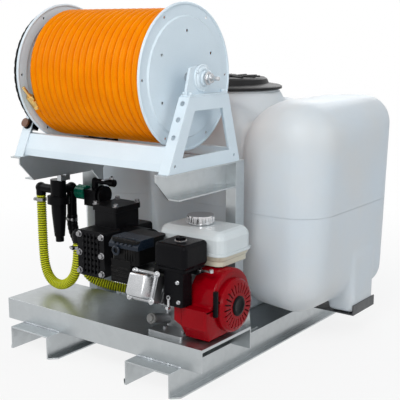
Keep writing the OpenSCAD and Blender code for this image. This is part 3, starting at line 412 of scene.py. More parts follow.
def finish(name, colour, other, rough, metal=0.0, blotch=8.0, fine=300.0, bump=0.0, edge=0.0012, worn=None,
           wear=0.0, dust=0.0, coat=0.0, below=None, soft=0.0, cells=0.0, specular=0.5, groove_and_shade=None):
    """Principled finish: two tones in blotches, soft worn edges, dust, a speck in gloss and relief."""
    material = bpy.data.materials.new(name)
    material.use_nodes = True
    tree = material.node_tree
    shader = tree.nodes["Principled BSDF"]
    grain = placed(tree, GRAIN, Blotch=blotch, Fine=fine)
    edges = placed(tree, ROUNDED_EDGES, Radius=edge)
    tone = blended(tree, grain.outputs["Tone"], colour, other)
    gloss = grain.outputs["Speck"]
    if cells:
        crystal = placed(tree, SPANGLE, Scale=cells).outputs["Tone"]
        darker = tuple(0.78 * c for c in colour)
        tone = blended(tree, maths(tree, "MULTIPLY", crystal, 0.22), tone, darker)
        speck = maths(tree, "MULTIPLY", gloss, 0.75)
        gloss = maths(tree, "ADD", speck, maths(tree, "MULTIPLY", crystal, 0.25))
    if below:
        height, low_colour = below
        where = tree.nodes.new("ShaderNodeTexCoord")
        split = tree.nodes.new("ShaderNodeSeparateXYZ")
        tree.links.new(where.outputs["Object"], split.inputs[0])
        tone = blended(tree, maths(tree, "LESS_THAN", split.outputs["Z"], height), tone, low_colour)
    # painted shade: the hose's grooves are darkened towards the groove colour, standing in for the shade
    # the ribs cast
    if groove_and_shade:
        depth = tree.nodes.new("ShaderNodeAttribute")
        depth.attribute_name = "groove_and_shade"
        tone = blended(tree, depth.outputs["Fac"], tone, groove_and_shade)
    if wear:
        tone = blended(tree, maths(tree, "MULTIPLY", edges.outputs["Worn"], wear), tone, worn)
    if dust:
        tone = blended(tree, placed(tree, DUST, Amount=dust).outputs["Dust"], tone, DUST_COLOUR)
    tree.links.new(tone, shader.inputs["Base Color"])
    tree.links.new(spread_range(tree, gloss, 0.3, 0.7, *rough), shader.inputs["Roughness"])
    normal = edges.outputs["Normal"]
    if bump:
        relief = tree.nodes.new("ShaderNodeBump")
        relief.inputs["Strength"].default_value = 0.6
        relief.inputs["Distance"].default_value = bump
        tree.links.new(grain.outputs["Speck"], relief.inputs["Height"])
        tree.links.new(normal, relief.inputs["Normal"])
        normal = relief.outputs["Normal"]
    tree.links.new(normal, shader.inputs["Normal"])
    shader.inputs["Metallic"].default_value = metal
    shader.inputs["Coat Weight"].default_value = coat
    shader.inputs["Coat Roughness"].default_value = 0.08
    shader.inputs["Specular IOR Level"].default_value = specular
    if soft:
        shader.inputs["Subsurface Weight"].default_value = soft
        shader.inputs["Subsurface Radius"].default_value = (0.03, 0.026, 0.022)
        shader.inputs["Subsurface Scale"].default_value = 1.0
    return material


# finishes: name, two tones, least and greatest roughness, and metal where it is one
GALVANISED = finish(
    "galvanised_sheet", (0.52, 0.55, 0.565), (0.45, 0.475, 0.485), (0.29, 0.41), 1.0,
    blotch=4, fine=240, bump=0.00002, cells=46, dust=0.02, edge=0.0018)
DARK_STEEL = finish(
    "dark_steel", (0.09, 0.095, 0.10), (0.065, 0.068, 0.07), (0.34, 0.5), 0.6, cells=60, edge=0.0015)
WELD = finish(
    "weld_bead", (0.46, 0.49, 0.52), (0.36, 0.38, 0.40), (0.30, 0.46), 0.9,
    blotch=60, fine=700, bump=0.0002)
BRIGHT_STEEL = finish(
    "zinc_plated_steel", (0.56, 0.57, 0.58), (0.46, 0.47, 0.49), (0.22, 0.36), 1.0, fine=600, edge=0.0008)
BOLT_STEEL = finish(
    "bolt_steel", (0.34, 0.34, 0.35), (0.24, 0.24, 0.25), (0.20, 0.34), 1.0, fine=700, edge=0.0008)
CHAIN_STEEL = finish(
    "chain_steel", (0.060, 0.060, 0.063), (0.035, 0.034, 0.032), (0.28, 0.45), 1.0, fine=900, edge=0.0006)
BLACK_STEEL = finish(
    "black_steel", (0.003, 0.003, 0.0035), (0.006, 0.006, 0.006), (0.24, 0.40),
    fine=500, bump=0.00008, worn=(0.20, 0.19, 0.18), wear=0.4, dust=0.005, specular=0.08)
# a lighter, bluish copy of black steel with a stronger specular: the bluish tone is a painted highlight on
# the muffler's guard and outlet ring
BLACK_STEEL_PAINTED_HIGHLIGHT = finish(
    "black_steel_painted_highlight", (0.004, 0.009, 0.018), (0.007, 0.012, 0.021), (0.22, 0.36),
    fine=500, bump=0.00008, worn=(0.26, 0.27, 0.29), wear=0.5, dust=0.005, specular=0.2)
BLACK_CASTING = finish(
    "black_casting", (0.004, 0.004, 0.005), (0.007, 0.007, 0.008), (0.26, 0.44), blotch=20, fine=420,
    bump=0.0003, worn=(0.06, 0.06, 0.06), wear=0.5, dust=0.004, edge=0.002, specular=0.08)
CAST_ALUMINIUM = finish(
    "cast_aluminium", (0.40, 0.41, 0.42), (0.28, 0.29, 0.30), (0.30, 0.46), 1.0,
    blotch=14, fine=520, bump=0.00025, edge=0.0015, dust=0.03)
BRIGHT_ALUMINIUM = finish(
    "bright_cast_aluminium", (0.56, 0.57, 0.585), (0.46, 0.47, 0.485), (0.20, 0.34), 1.0,
    blotch=18, fine=620, bump=0.00012, edge=0.002)
CHROME = finish("chrome", (0.66, 0.66, 0.67), (0.60, 0.60, 0.61), (0.05, 0.14), 1.0, edge=0.0008)
BRASS = finish("brass", (0.80, 0.56, 0.22), (0.68, 0.44, 0.15), (0.18, 0.34), 1.0, fine=700, edge=0.0008)
WHITE_COAT = finish(
    "white_powder_coat", (0.70, 0.80, 0.87), (0.66, 0.76, 0.83), (0.26, 0.38), blotch=6, fine=520,
    bump=0.00006, worn=(0.45, 0.44, 0.43), wear=0.5, dust=0.04, coat=0.1, edge=0.002, specular=0.35)
SHROUD_RED = finish(
    "shroud_red", (0.29, 0.0, 0.005), (0.24, 0.0, 0.004), (0.16, 0.26),
    coat=0.05, fine=420, bump=0.00004, edge=0.003, specular=0.08)
FUEL_WHITE = finish(
    "fuel_tank_white", (0.64, 0.69, 0.71), (0.61, 0.66, 0.68), (0.18, 0.28), coat=0.3, edge=0.003,
    dust=0.03, specular=0.3, below=(DECK_TOP + 0.268, (0.60, 0.57, 0.45)))
TANK_POLY = finish(
    "tank_polyethylene", (0.64, 0.71, 0.77), (0.68, 0.70, 0.71), (0.34, 0.48), blotch=3.2, fine=90,
    bump=0.0004, soft=0.12, dust=0.03, edge=0.004, specular=0.3)
LID_BLACK = finish(
    "lid_black", (0.009, 0.009, 0.010), (0.014, 0.014, 0.015), (0.38, 0.55),
    fine=420, bump=0.0001, dust=0.02, edge=0.003, specular=0.16)
BLACK_PLASTIC = finish(
    "black_moulding", (0.003, 0.003, 0.004), (0.005, 0.005, 0.006), (0.20, 0.36),
    fine=600, bump=0.00008, dust=0.004, edge=0.0015, specular=0.06)
GREY_PLASTIC = finish(
    "grey_plastic", (0.20, 0.20, 0.195), (0.15, 0.15, 0.15), (0.36, 0.5), edge=0.001, specular=0.25)
BROWN_BUTTON = finish(
    "brown_button", (0.16, 0.060, 0.024), (0.12, 0.042, 0.018), (0.22, 0.32), edge=0.001, specular=0.25)
GREEN_KNOB = finish(
    "green_knob", (0.003, 0.15, 0.09), (0.002, 0.12, 0.075), (0.22, 0.34), edge=0.0012, specular=0.2)
HOSE_ORANGE = finish(
    "orange_hose", (0.86, 0.255, 0.0), (0.80, 0.22, 0.0), (0.34, 0.46),
    blotch=14, fine=500, bump=0.00006, edge=0.0005, specular=0.04)
# its groove colour is painted shade in the ribs' grooves
LIME_HOSE = finish(
    "lime_hose", (0.68, 0.71, 0.016), (0.61, 0.64, 0.013), (0.30, 0.42),
    blotch=20, fine=500, edge=0.0006, specular=0.15, groove_and_shade=(0.020, 0.028, 0.002))

# the solids that keep their shape, under their finishes
DRESS = {
    GALVANISED: "left_rail right_rail engine_deck left_post right_post left_arm right_arm strainer_bracket",
    DARK_STEEL: "tank_crossmember crankshaft",
    BRIGHT_STEEL: "lid_hinge_pin reel_shaft engine_bolts throttle_lever choke_lever valve_lever",
    BOLT_STEEL: "hose_clamps",
    BLACK_STEEL: "drive_sprocket motor_sprocket rewind_motor muffler",
    BLACK_CASTING: "gearbox pump_body pump_heads",
    CAST_ALUMINIUM: "engine_block",
    CHROME: "fuel_cap",
    BRASS: "hose_end_fitting",
    WHITE_COAT: "left_side_frame right_side_frame front_bar rear_bar left_bearing right_bearing "
                "left_disc right_disc drum",
    SHROUD_RED: "recoil_cover",
    FUEL_WHITE: "fuel_tank",
    LID_BLACK: "tank_lid",
    BLACK_PLASTIC: "tank_outlet switch_box air_cleaner air_cleaner_knob carburetor recoil_grip manifold "
                   "bypass_knob strainer_head strainer_bowl",
    GREY_PLASTIC: "oil_dipstick",
    BROWN_BUTTON: "rewind_button",
    GREEN_KNOB: "pressure_knob",
}
for material, names in DRESS.items():
    for name in names.split():
        mesh = nodes[name].data
        mesh.materials.clear()
        mesh.materials.append(material)

# hoses: their size, and the construction's route points in millimetres from the skid's front
HOSE_DIAMETER = 0.038
HOSE_RIB = 0.0094
HOSE_GROOVE = 0.0032
CUFF_RADIUS = 0.0212
CUFF_RIB = 0.0150
CUFF_GROOVE = 0.0012
CUFF_POINTS = 6
SUCTION_ROUTE = [
    (-472, 200, 529.5), (-472, 200, 489.5), (-471.8, 200, 439.5), (-470.6, 199, 389.5),
    (-468.4, 198, 339.5), (-462.1, 194, 294.5), (-448.9, 187, 254.5), (-425.7, 178, 223.5),
    (-394.5, 170, 203.5), (-357.3, 165, 195.5), (-320.1, 161, 201.5), (-285.9, 160, 221.5),
    (-261.6, 160, 251.5), (-248.4, 160, 289.5), (-242.2, 160, 324.5), (-240, 160, 351.5),
    (-240, 160, 379.5)]
TANK_ROUTE = [
    (-376, 270, 449.5), (-376, 270, 413.5), (-371, 273, 381.5), (-361, 279, 349.6), (-350, 285, 316.6),
    (-342, 289, 284.7), (-337, 290, 247.7), (-327, 292, 217.8), (-306, 298.9, 196.8), (-275, 311.8, 181.8),
    (-240, 330.7, 170.8), (-205, 351.7, 162.9), (-175, 374.6, 155.9), (-151, 400.6, 151.9),
    (-134, 430.5, 150), (-130, 463.5, 150), (-130, 495.5, 150)]


def along_route(route, per_leg):
    """Smooth curve through the route's points, in metres."""
    points = [Vector((x, y, z)) / 1000 + Vector((0, FRONT, 0)) for x, y, z in route]
    last = len(points) - 1
    line = []
    for k in range(last):
        a, b, c, d = (points[min(max(j, 0), last)] for j in range(k - 1, k + 3))
        for i in range(per_leg):
            t = i / per_leg
            slope = (c - a) * t
            bend = (2 * a - 5 * b + 4 * c - d) * t * t
            twist = (3 * b - a - 3 * c + d) * t ** 3
            line.append(0.5 * (2 * b + slope + bend + twist))
    return line + [points[last]]


def even_steps(line, step):
    """The same line cut into equal steps of about that length, and its whole length."""
    far = [0.0]
    for a, b in zip(line, line[1:]):
        far.append(far[-1] + (b - a).length)
    count = max(2, round(far[-1] / step))
    cut, k = [], 0
    for i in range(count + 1):
        goal = far[-1] * i / count
        while k < len(line) - 2 and far[k + 1] < goal:
            k += 1
        share = (goal - far[k]) / (far[k + 1] - far[k])
        cut.append(line[k].lerp(line[k + 1], min(max(share, 0), 1)))
    return cut, far[-1]


def ribbed_tube(name, route, radius, rib, depth):
    """Ribbed hose along a route. Its points keep how deep in a groove they lie, for the painted shade that
    the finish puts in the grooves.
    """
    sides, rings, per_leg = 28, 6, 40
    groove_shape, shade_shape = 1.6, 1.3
    line, length = even_steps(along_route(route, per_leg), rib / rings)
    last = len(line) - 1
    side = (line[1] - line[0]).orthogonal().normalized()
    points, faces, painted_groove_shade = [], [], []
    for i, at in enumerate(line):
        ahead = (line[min(i + 1, last)] - line[max(i - 1, 0)]).normalized()
        side = (side - ahead * side.dot(ahead)).normalized()
        over = ahead.cross(side)
        groove_and_shade = 0.5 + 0.5 * math.cos(2 * math.pi * i / rings)
        r = radius - depth * groove_and_shade ** groove_shape
        # the groove share also sets how much painted shade each ring gets
        painted_groove_shade += [groove_and_shade ** shade_shape] * sides
        for s in range(sides):
            turn = 2 * math.pi * s / sides
            points.append(at + r * (math.cos(turn) * side + math.sin(turn) * over))
    for i in range(last):
        for s in range(sides):
            a, b = i * sides + s, i * sides + (s + 1) % sides
            faces.append((a, b, b + sides, a + sides))
    faces.append(tuple(reversed(range(sides))))
    faces.append(tuple(range(last * sides, (last + 1) * sides)))
    mesh = bpy.data.meshes.new(name)
    mesh.from_pydata(points, [], faces)
    mesh.attributes.new("groove_and_shade", "FLOAT", "POINT").data.foreach_set("value", painted_groove_shade)
    obj = bpy.data.objects.new(name, mesh)
    scene.collection.objects.link(obj)
    return obj, line, length


def hose_cuff(name, route):
    """Black cuff over the start of a hose."""
    cuff = ribbed_tube(name, route[:CUFF_POINTS], CUFF_RADIUS, CUFF_RIB, CUFF_GROOVE)[0]
    return piece(cuff, name, "skid", BLACK_PLASTIC, (), 60)


def lime_hose(name, route, node, cuff_name=None):
    """A ribbed suction hose, with the cuff that sits on it where it has one."""
    hose, line, length = ribbed_tube(name, route, HOSE_DIAMETER / 2, HOSE_RIB, HOSE_GROOVE)
    piece(hose, name, "skid", LIME_HOSE, [node], 60)
    cuffs = [hose_cuff(cuff_name, route)] if cuff_name else []


def wound_hose():
    """Outer layer from the fitting across the reel, its end led down to the layer below it."""
    radius, start = 0.0138, math.radians(220)
    first_x, last_x, wind, turns = -0.245, 0.252, 0.2082, 17.5
    lead_steps, dip_steps, dip_turn, dip = 4, 14, 1.1, 0.0265
    low_x, low_wind, low_turns, low_pitch = first_x + 0.0142, wind - 0.0237, 16.5, 0.0284

    def ring(turn, r, x):
        return REEL + Vector((x, r * math.cos(turn), r * math.sin(turn)))

    def coil(r, from_x, to_x, rounds, per_turn):
        steps = int(rounds * per_turn)
        return [ring(start + 2 * math.pi * rounds * i / steps, r, from_x + (to_x - from_x) * i / steps)
                for i in range(steps + 1)]

    onset = ring(start, wind, first_x)
    lead = onset - 2 * radius * Vector((0, -math.sin(start), math.cos(start)))
    outer = [lead.lerp(onset, i / lead_steps) for i in range(lead_steps)]
    outer += coil(wind, first_x, last_x, turns, 56)
    end = start + 2 * math.pi * turns
    for i in range(1, dip_steps + 1):
        share = i / dip_steps
        outer.append(ring(end + dip_turn * share, wind - dip * share * share * (3 - 2 * share), last_x))
    below = coil(low_wind, low_x, low_x + low_pitch * low_turns, low_turns, 40)
    hose = tube([[(at, 1.0) for at in run] for run in (outer, below)], radius, 5)
    piece(hose, "reel_hose", "reel", HOSE_ORANGE, ["hose_winding", "hose_core"], 60)


# tank
def tank_lobe(side):
    """One side lobe: the hull over balls that sit in its corners."""
    inner, foot, top, depth = 0.195, 0.050, 0.828, 0.648
    # how far out a corner reaches, none on the inner side; high or low; its bends at the front and the back
    corners = (
        (None, False, 0.1485, 0.1485), (None, True, 0.198, 0.198),
        (0.573, False, 0.122, 0.096), (0.594, True, 0.150, 0.108))
    balls = []
    for outer, high, front, back in corners:
        for bend, y in ((front, front), (back, depth - back)):
            x = outer - bend if outer else inner + bend
            z = top - bend if high else foot + bend
            put_down()
            bpy.ops.mesh.primitive_uv_sphere_add(segments=48, ring_count=24, radius=bend)
            balls.append(into_mesh(bpy.context.object, Matrix.Translation(TANK + Vector((side * x, y, z)))))
    lobe = joined(balls)
    edit(lobe)
    pick_all()
    bpy.ops.mesh.convex_hull()
    put_down()
    return lobe


def tank_waist():
    """Middle between the lobes, with its low front edge set back and its edges rounded."""
    half, set_back, bend = 0.235, 0.038, 0.105
    waist = block((-half, TANK.y + 0.020, RAIL_TOP + 0.001), (half, TANK.y + 0.640, RAIL_TOP + 0.803))
    edit(waist)
    pick(waist, lambda at, n: at.z < 0.2 and at.y < 0.1, "VERT")
    bpy.ops.transform.translate(value=(0, set_back, 0))
    pick(waist, lambda at, d: at.z > 0.2 or abs(d.z) > 0.9, "EDGE")
    bpy.ops.mesh.bevel(offset=bend, segments=8, affect="EDGES")
    put_down()
    return waist


def tank_foot(side):
    """Moulded foot under the outer side of a lobe."""
    low_x, high_x = sorted((side * 0.474, side * 0.5835))
    low, high = (low_x, TANK.y + 0.320, RAIL_TOP + 0.0046), (high_x, TANK.y + 0.496, RAIL_TOP + 0.240)
    return soft_block(low, high, 0.012, 3)


def tank_skin():
    """Lobes, waist, feet, outlet boss and the shoulder under the mouth, run together to one skin."""
    outlet_x, outlet_z = -0.130, 0.150
    shapes = [tank_lobe(-1), tank_lobe(1), tank_waist(), tank_foot(-1), tank_foot(1)]
    boss = ((outlet_x, TANK.y + 0.040, outlet_z), (outlet_x, TANK.y + 0.110, outlet_z))
    shapes.append(bar(0.046, *boss, 40))
    put_down()
    bpy.ops.mesh.primitive_cone_add(vertices=64, radius1=0.243, radius2=0.204, depth=0.074)
    shapes.append(into_mesh(bpy.context.object, Matrix.Translation(MOUTH + Vector((0, 0, 0.805)))))
    skin = joined(shapes)
    tool = skin.modifiers.new("run_together", "REMESH")
    tool.mode = "VOXEL"
    tool.voxel_size = 0.011
    applied(skin, tool)
    tool = skin.modifiers.new("flow", "SMOOTH")
    tool.factor = 0.5
    tool.iterations = 5
    return applied(skin, tool)


def tank_body(skin):
    """The skin cut open at the mouth and given its wall."""
    mouth_radius, mouth_low, wall = 0.196, 0.85, 0.008
    edit(skin)
    pick(skin, lambda at, n: at.z > mouth_low and (at.xy - MOUTH.xy).length < mouth_radius)
    bpy.ops.mesh.delete(type="FACE")
    put_down()
    tool = skin.modifiers.new("wall", "SOLIDIFY")
    tool.thickness = wall
    tool.offset = -1
    piece(applied(skin, tool), "tank_body", "skid", TANK_POLY, ["tank_shell"], 50)


def tank_seam(skin):
    """Thin line all round where the mould closed."""
    height, radius = 0.507, 0.0009
    edit(skin)
    pick_all()
    bpy.ops.mesh.bisect(plane_co=(0, 0, height), plane_no=UP, clear_inner=True, clear_outer=True)
    hold(skin)
    bpy.ops.object.convert(target="CURVE")
    seam = bpy.context.object
    seam.data.bevel_depth = radius
    seam.data.bevel_resolution = 1
    bpy.ops.object.convert(target="MESH")
    piece(bpy.context.object, "tank_seam", "skid", TANK_POLY, (), 60)


def tank_neck():
    """Neck round the mouth with a bead on it, and two ears for the lid's hinge pin."""
    profile = [(0.190, 0.768), (0.203, 0.768), (0.203, 0.812), (0.210, 0.818), (0.210, 0.826),
               (0.203, 0.831), (0.203, 0.842), (0.199, 0.846), (0.193, 0.846), (0.190, 0.843),
               (0.190, 0.768)]
    ear_x, ear_half = 0.038, 0.006
    hinge_y, hinge_z = MOUTH.y + 0.226, RAIL_TOP + 0.8515
    shapes = [turned(profile, 96, Matrix.Translation(MOUTH))]
    for x in (-ear_x, ear_x):
        ear = block((x - ear_half, MOUTH.y + 0.195, RAIL_TOP + 0.812),
                    (x + ear_half, hinge_y + 0.010, hinge_z + 0.009))
        edit(ear)
        pick(ear, lambda at, n: at.y > hinge_y and at.z < hinge_z, "VERT")
        bpy.ops.transform.translate(value=(0, -0.004, 0.012))
        pick(ear, lambda at, n: at.y < hinge_y - 0.02 and at.z > hinge_z - 0.02, "VERT")
        bpy.ops.transform.translate(value=(0, 0, -0.014))
        put_down()
        shapes.append(round_rims(ear, 0.002))
    piece(joined(shapes), "tank_neck", "skid", TANK_POLY)


def moulded_tank():
    skin = tank_skin()
    line_skin = skin.copy()
    line_skin.data = skin.data.copy()
    scene.collection.objects.link(line_skin)
    tank_body(skin)
    tank_seam(line_skin)
    tank_neck()


def lid_ribs():
    """Ribs and a boss on the lid's crown."""
    count, near, far, half = 12, 0.036, 0.126, 0.004
    lid_seat, lid_height = 0.8465, 0.044
    crown = Matrix.Translation(MOUTH + Vector((0, 0, lid_seat + lid_height)))
    rib = round_rims(block((near, -half, -0.002), (far, half, 0.006)), 0.002)
    ribs = copies(rib, [crown @ Matrix.Rotation(2 * math.pi * i / count, 4, "Z") for i in range(count)])
    boss = turned([(0.0, 0.010), (0.030, 0.010), (near, 0.006), (near, -0.002), (0.0, -0.002)], 48, crown)
    piece(joined([ribs, boss]), "lid_ribs", "lid", LID_BLACK)


# chain
def chain_master(plate, rod, pitch):
    """One link: two plates with round ends, and the two rollers or pins between them."""
    near, far = plate
    radius, half, sides = rod
    end = 0.0066
    shapes = []
    for side in (-1, 1):
        low, high = sorted((side * near, side * far))
        cheek = block((low, -pitch / 2 - end, -end), (high, pitch / 2 + end, end))
        edit(cheek)
        pick(cheek, lambda at, d: abs(d.x) > 0.9, "EDGE")
        bpy.ops.mesh.bevel(offset=0.0062, segments=4, affect="EDGES")
        put_down()
        shapes.append(cheek)
    for y in (-pitch / 2, pitch / 2):
        shapes.append(bar(radius, (-half, y, 0), (half, y, 0), sides))
    return joined(shapes)


def drive_chain():
    """Roller chain round the reel's wheel and the motor's pinion."""
    pitch, wheel_teeth, pinion_teeth = 0.015875, 88, 13
    r_wheel = pitch / 2 / math.sin(math.pi / wheel_teeth)
    r_pinion = pitch / 2 / math.sin(math.pi / pinion_teeth)
    between = PINION.yz - REEL.yz
    aim = math.atan2(between.y, between.x)
    tilt = math.acos((r_wheel - r_pinion) / between.length)
    straight = between.length * math.sin(tilt)
    # middle, radius, first turn and sweep of the chain on each of the two
    arcs = (
        (REEL.yz, r_wheel, aim + tilt, 2 * math.pi - 2 * tilt),
        (PINION.yz, r_pinion, aim - tilt, 2 * tilt))
    total = sum(r * sweep for middle, r, first, sweep in arcs) + 2 * straight
    count = 2 * round(total / pitch / 2)

    def on_arc(arc, share):
        middle, r, first, sweep = arc
        turn = first + sweep * share
        return middle + r * Vector((math.cos(turn), math.sin(turn)))

    def on_loop(s):
        s %= total
        this, other = arcs
        bent = this[1] * this[3]
        if s > bent + straight:
            s -= bent + straight
            this, other = other, this
            bent = this[1] * this[3]
        if s <= bent:
            return on_arc(this, s / bent)
        return on_arc(this, 1).lerp(on_arc(other, 0), (s - bent) / straight)

    roller_link = chain_master((0.0033, 0.0046), (0.0050, 0.0033, 12), pitch)
    pin_link = chain_master((0.0049, 0.0062), (0.0026, 0.0065, 10), pitch)
    links = []
    for k, master in enumerate((roller_link, pin_link)):
        places = []
        for i in range(k, count, 2):
            a, b = on_loop(total * (i - 0.5) / count), on_loop(total * (i + 0.5) / count)
            turn = math.atan2(b.y - a.y, b.x - a.x)
            at = Vector((PINION.x, *((a + b) / 2)))
            places.append(Matrix.Translation(at) @ Matrix.Rotation(turn, 4, "X"))
        links.append(copies(master, places))
    piece(joined(links), "chain_links", "skid", CHAIN_STEEL, ["drive_chain"])


# fasteners and welds
def hex_bolt(across, height, washer):
    """Hexagon head with a chamfered top on a washer, standing on Z = 0."""
    put_down()
    bpy.ops.mesh.primitive_cylinder_add(vertices=6, radius=across / 2 / math.cos(math.pi / 6), depth=height)
    head = into_mesh(bpy.context.object, Matrix.Translation((0, 0, washer + height / 2)))
    ring = bar(across * 0.72, (0, 0, 0), (0, 0, washer), 20)
    for shape, margin, rise in ((head, across * 0.10, height * 0.12), (ring, across * 0.05, washer * 0.3)):
        edit(shape)
        pick(shape, lambda at, n: n.z > 0.9)
        bpy.ops.mesh.inset(thickness=margin, depth=rise)
        put_down()
    return joined([head, ring])


def bolts(name, size, places, material=BRIGHT_STEEL):
    piece(copies(hex_bolt(*size), places), name, "skid", material)


def weld_line(start, end, width):
    """Rippled bead laid in a corner, thin at both ends."""
    start, end, pitch = Vector(start), Vector(end), 0.0032
    count = max(4, int((end - start).length / pitch))
    run = []
    for i in range(count + 1):
        ripple = (0.80 if i % 2 else 1.0) * (0.9 + 0.14 * math.sin(i * 1.7))
        run.append((start.lerp(end, i / count), ripple * (0.5 if i in (0, count) else 1)))
    return tube([run], width, 2)


def weld_beads():
    """Beads along the deck's edges on both rails, and round the feet of both posts."""
    half, deck_z, deck_bead, deck_out = 0.094, RAIL_TOP + 0.001, 0.005, 0.001
    post_z, post_bead, post_out = RAIL_TOP + 0.0065, 0.0035, 0.0005
    beads = []
    for side in (-1, 1):
        rail, near, far = side * RAIL_X, side * POST_X[0], side * POST_X[1]
        for y in (FRONT - deck_out, FRONT + DECK_DEPTH + deck_out):
            beads.append(weld_line((rail - half, y, deck_z), (rail + half, y, deck_z), deck_bead))
        for x in (near - post_out, far + post_out):
            beads.append(weld_line((x, POST_Y[0], post_z), (x, POST_Y[1], post_z), post_bead))
        for y in (POST_Y[0] - post_out, POST_Y[1] + post_out):
            beads.append(weld_line((near, y, post_z), (far, y, post_z), post_bead))
    piece(joined(beads), "weld_beads", "skid", WELD)


# reel
def reel_bearings():
    """At each end of the shaft: bolts, a pressed flange with three rivets, and a lock collar."""
    flange_profile = [(0.0276, 0.0), (0.044, 0.0), (0.044, 0.0030), (0.041, 0.0052), (0.0365, 0.0052),
                      (0.034, 0.0080), (0.031, 0.0100), (0.0276, 0.0100), (0.0276, 0.0)]
    bore, rim, thick = 0.0163, 0.0238, 0.0082
    collar_profile = [(bore, 0.0), (rim, 0.0), (rim, 0.0066), (0.0222, thick), (bore, thick), (bore, 0.0)]
    bolt_x, flange_x, rivet_x, collar_x = 0.331, 0.336, 0.3405, 0.3476
    rivet_round, rivet_turn = 0.0385, 0.5
    for side, label in ((1, "right"), (-1, "left")):
        out = side * TO_RIGHT
        places = [facing(UP, REEL + Vector((side * bolt_x + dx, y, -0.050)), 0.3)
                  for y in (-0.072, 0.106) for dx in (-0.012, 0.012)]
        bolts(label + "_bearing_bolts", (0.011, 0.007, 0.0016), places, WHITE_COAT)
        flange = turned(flange_profile, 56, facing(out, REEL + flange_x * out))
        rivets = []
        for turn in (rivet_turn + 2 * math.pi * i / 3 for i in range(3)):
            around = rivet_round * Vector((0, math.cos(turn), math.sin(turn)))
            rivets.append(facing(out, REEL + rivet_x * out + around))
        flange = joined([flange, copies(hex_bolt(0.0075, 0.0045, 0.0010), rivets)])
        piece(flange, label + "_bearing_flange", "skid", WHITE_COAT)
        collar = turned(collar_profile, 48, facing(out, REEL + collar_x * out))
        piece(collar, label + "_lock_collar", "reel", WHITE_COAT)


def swivel_nut():
    """Nut and stem of the swivel on the shaft's right end."""
    nut_x, stem_x, end_x = 0.3605, 0.371, 0.402
    nut = hex_bolt(0.030, 0.0110, 0.0020)
    nut.data.transform(facing(TO_RIGHT, REEL + nut_x * TO_RIGHT, 0.2))
    stem = bar(0.0068, REEL + stem_x * TO_RIGHT, REEL + end_x * TO_RIGHT, 28)
    piece(joined([nut, round_rims(stem, 0.0015)]), "swivel_nut", "reel", BRIGHT_STEEL)


# pump
def pump_bolts():
    """Bolts of the front head and the top head, each head at a turn of its own."""
    front_face, top_face = -0.145, 0.164
    front = [facing(AHEAD, PUMP + Vector((x, front_face, z)), x * 9 + z * 5)
             for x in (-0.054, 0.054) for z in (-0.068, 0, 0.068)]
    top = [facing(UP, PUMP + Vector((x, y, top_face)), x * 11 + y * 7)
           for x in (-0.049, 0.049) for y in (-0.062, 0.056)]
    bolts("pump_bolts", (0.0165, 0.0086, 0.0022), front + top, BOLT_STEEL)


def pump_ribs():
    """Upright ribs on the front head."""
    half, tall, pitch, front, root = 0.0028, 0.074, 0.018, -0.1485, -0.136
    ribs = []
    for x in (pitch * k for k in (-2, -1, 0, 1, 2)):
        rib = block(PUMP + Vector((x - half, front, -tall)), PUMP + Vector((x + half, root, tall)))
        ribs.append(round_rims(rib, 0.0012))
    piece(joined(ribs), "pump_ribs", "skid", BLACK_CASTING)


# engine
def rocker_cover():
    """Polished cover on the cylinder head: a tapered crown on a flange with four bolted ears."""
    ear_places = [(x, y) for x in (-0.046, 0.046) for y in (-0.042, 0.046)]
    seat, bolt_seat, taper = 0.2151, 0.2210, 0.87
    crown = block((-0.041, -0.041, 0.2195), (0.041, 0.045, 0.263))
    edit(crown)
    pick(crown, lambda at, n: n.z > 0.9)
    bpy.ops.transform.resize(value=(taper, taper, 1))
    pick(crown, lambda at, d: at.z > 0.222, "EDGE")
    bpy.ops.mesh.bevel(offset=0.0105, segments=5, affect="EDGES")
    put_down()
    flange = soft_block((-0.046, -0.044, seat), (0.046, 0.048, 0.2208), 0.0015, 2)
    ears = [round_rims(bar(0.011, (x, y, seat), (x, y, bolt_seat), 28), 0.001) for x, y in ear_places]
    cover = joined([crown, flange] + ears)
    cover.data.transform(CYLINDER)
    piece(cover, "rocker_cover", "skid", BRIGHT_ALUMINIUM, ["valve_cover"], 45)
    places = [CYLINDER @ facing(UP, (x, y, bolt_seat), x * 20) for x, y in ear_places]
    bolts("cover_bolts", (0.010, 0.006, 0.0015), places)


def carburetor_screws():
    face_y = -0.1722
    places = [facing(AHEAD, ENGINE + Vector((x, face_y, z)), x * 30)
              for x, z in ((0.070, 0.140), (0.066, 0.205))]
    bolts("carburetor_screws", (0.0095, 0.0052, 0.0014), places)


def muffler_guard():
    """Guard over the muffler's top front edge, slots pressed into its slope, and the outlet's ring."""
    low = ENGINE + Vector((-0.2005, -0.2025, 0.292))
    high = ENGINE + Vector((-0.0745, -0.1200, 0.3245))
    slope, near = 0.021, 0.001
    slots = [low.x + 0.022 + 0.018 * i for i in range(5)]
    ring_profile = [(0.0085, 0.0), (0.0165, 0.0), (0.0165, 0.0040), (0.0145, 0.0058), (0.0100, 0.0058),
                    (0.0085, 0.0040), (0.0085, 0.0)]
    guard = block(low, high)
    edit(guard)
    pick(guard, lambda at, d: abs(d.x) > 0.9 and at.y < low.y + near and at.z > high.z - near, "EDGE")
    bpy.ops.mesh.bevel(offset=slope, segments=1, affect="EDGES")
    pressed_row(guard, 0, slots, 0.0085, lambda n: n.y < -0.5 and n.z > 0.5, 0.0022, -0.004)
    put_down()
    piece(guard, "muffler_guard", "skid", BLACK_STEEL_PAINTED_HIGHLIGHT, (), 25)
    ring = turned(ring_profile, 40, facing(AHEAD, ENGINE + Vector((-0.165, -0.2055, 0.283))))
    piece(ring, "muffler_outlet_ring", "skid", BLACK_STEEL_PAINTED_HIGHLIGHT)


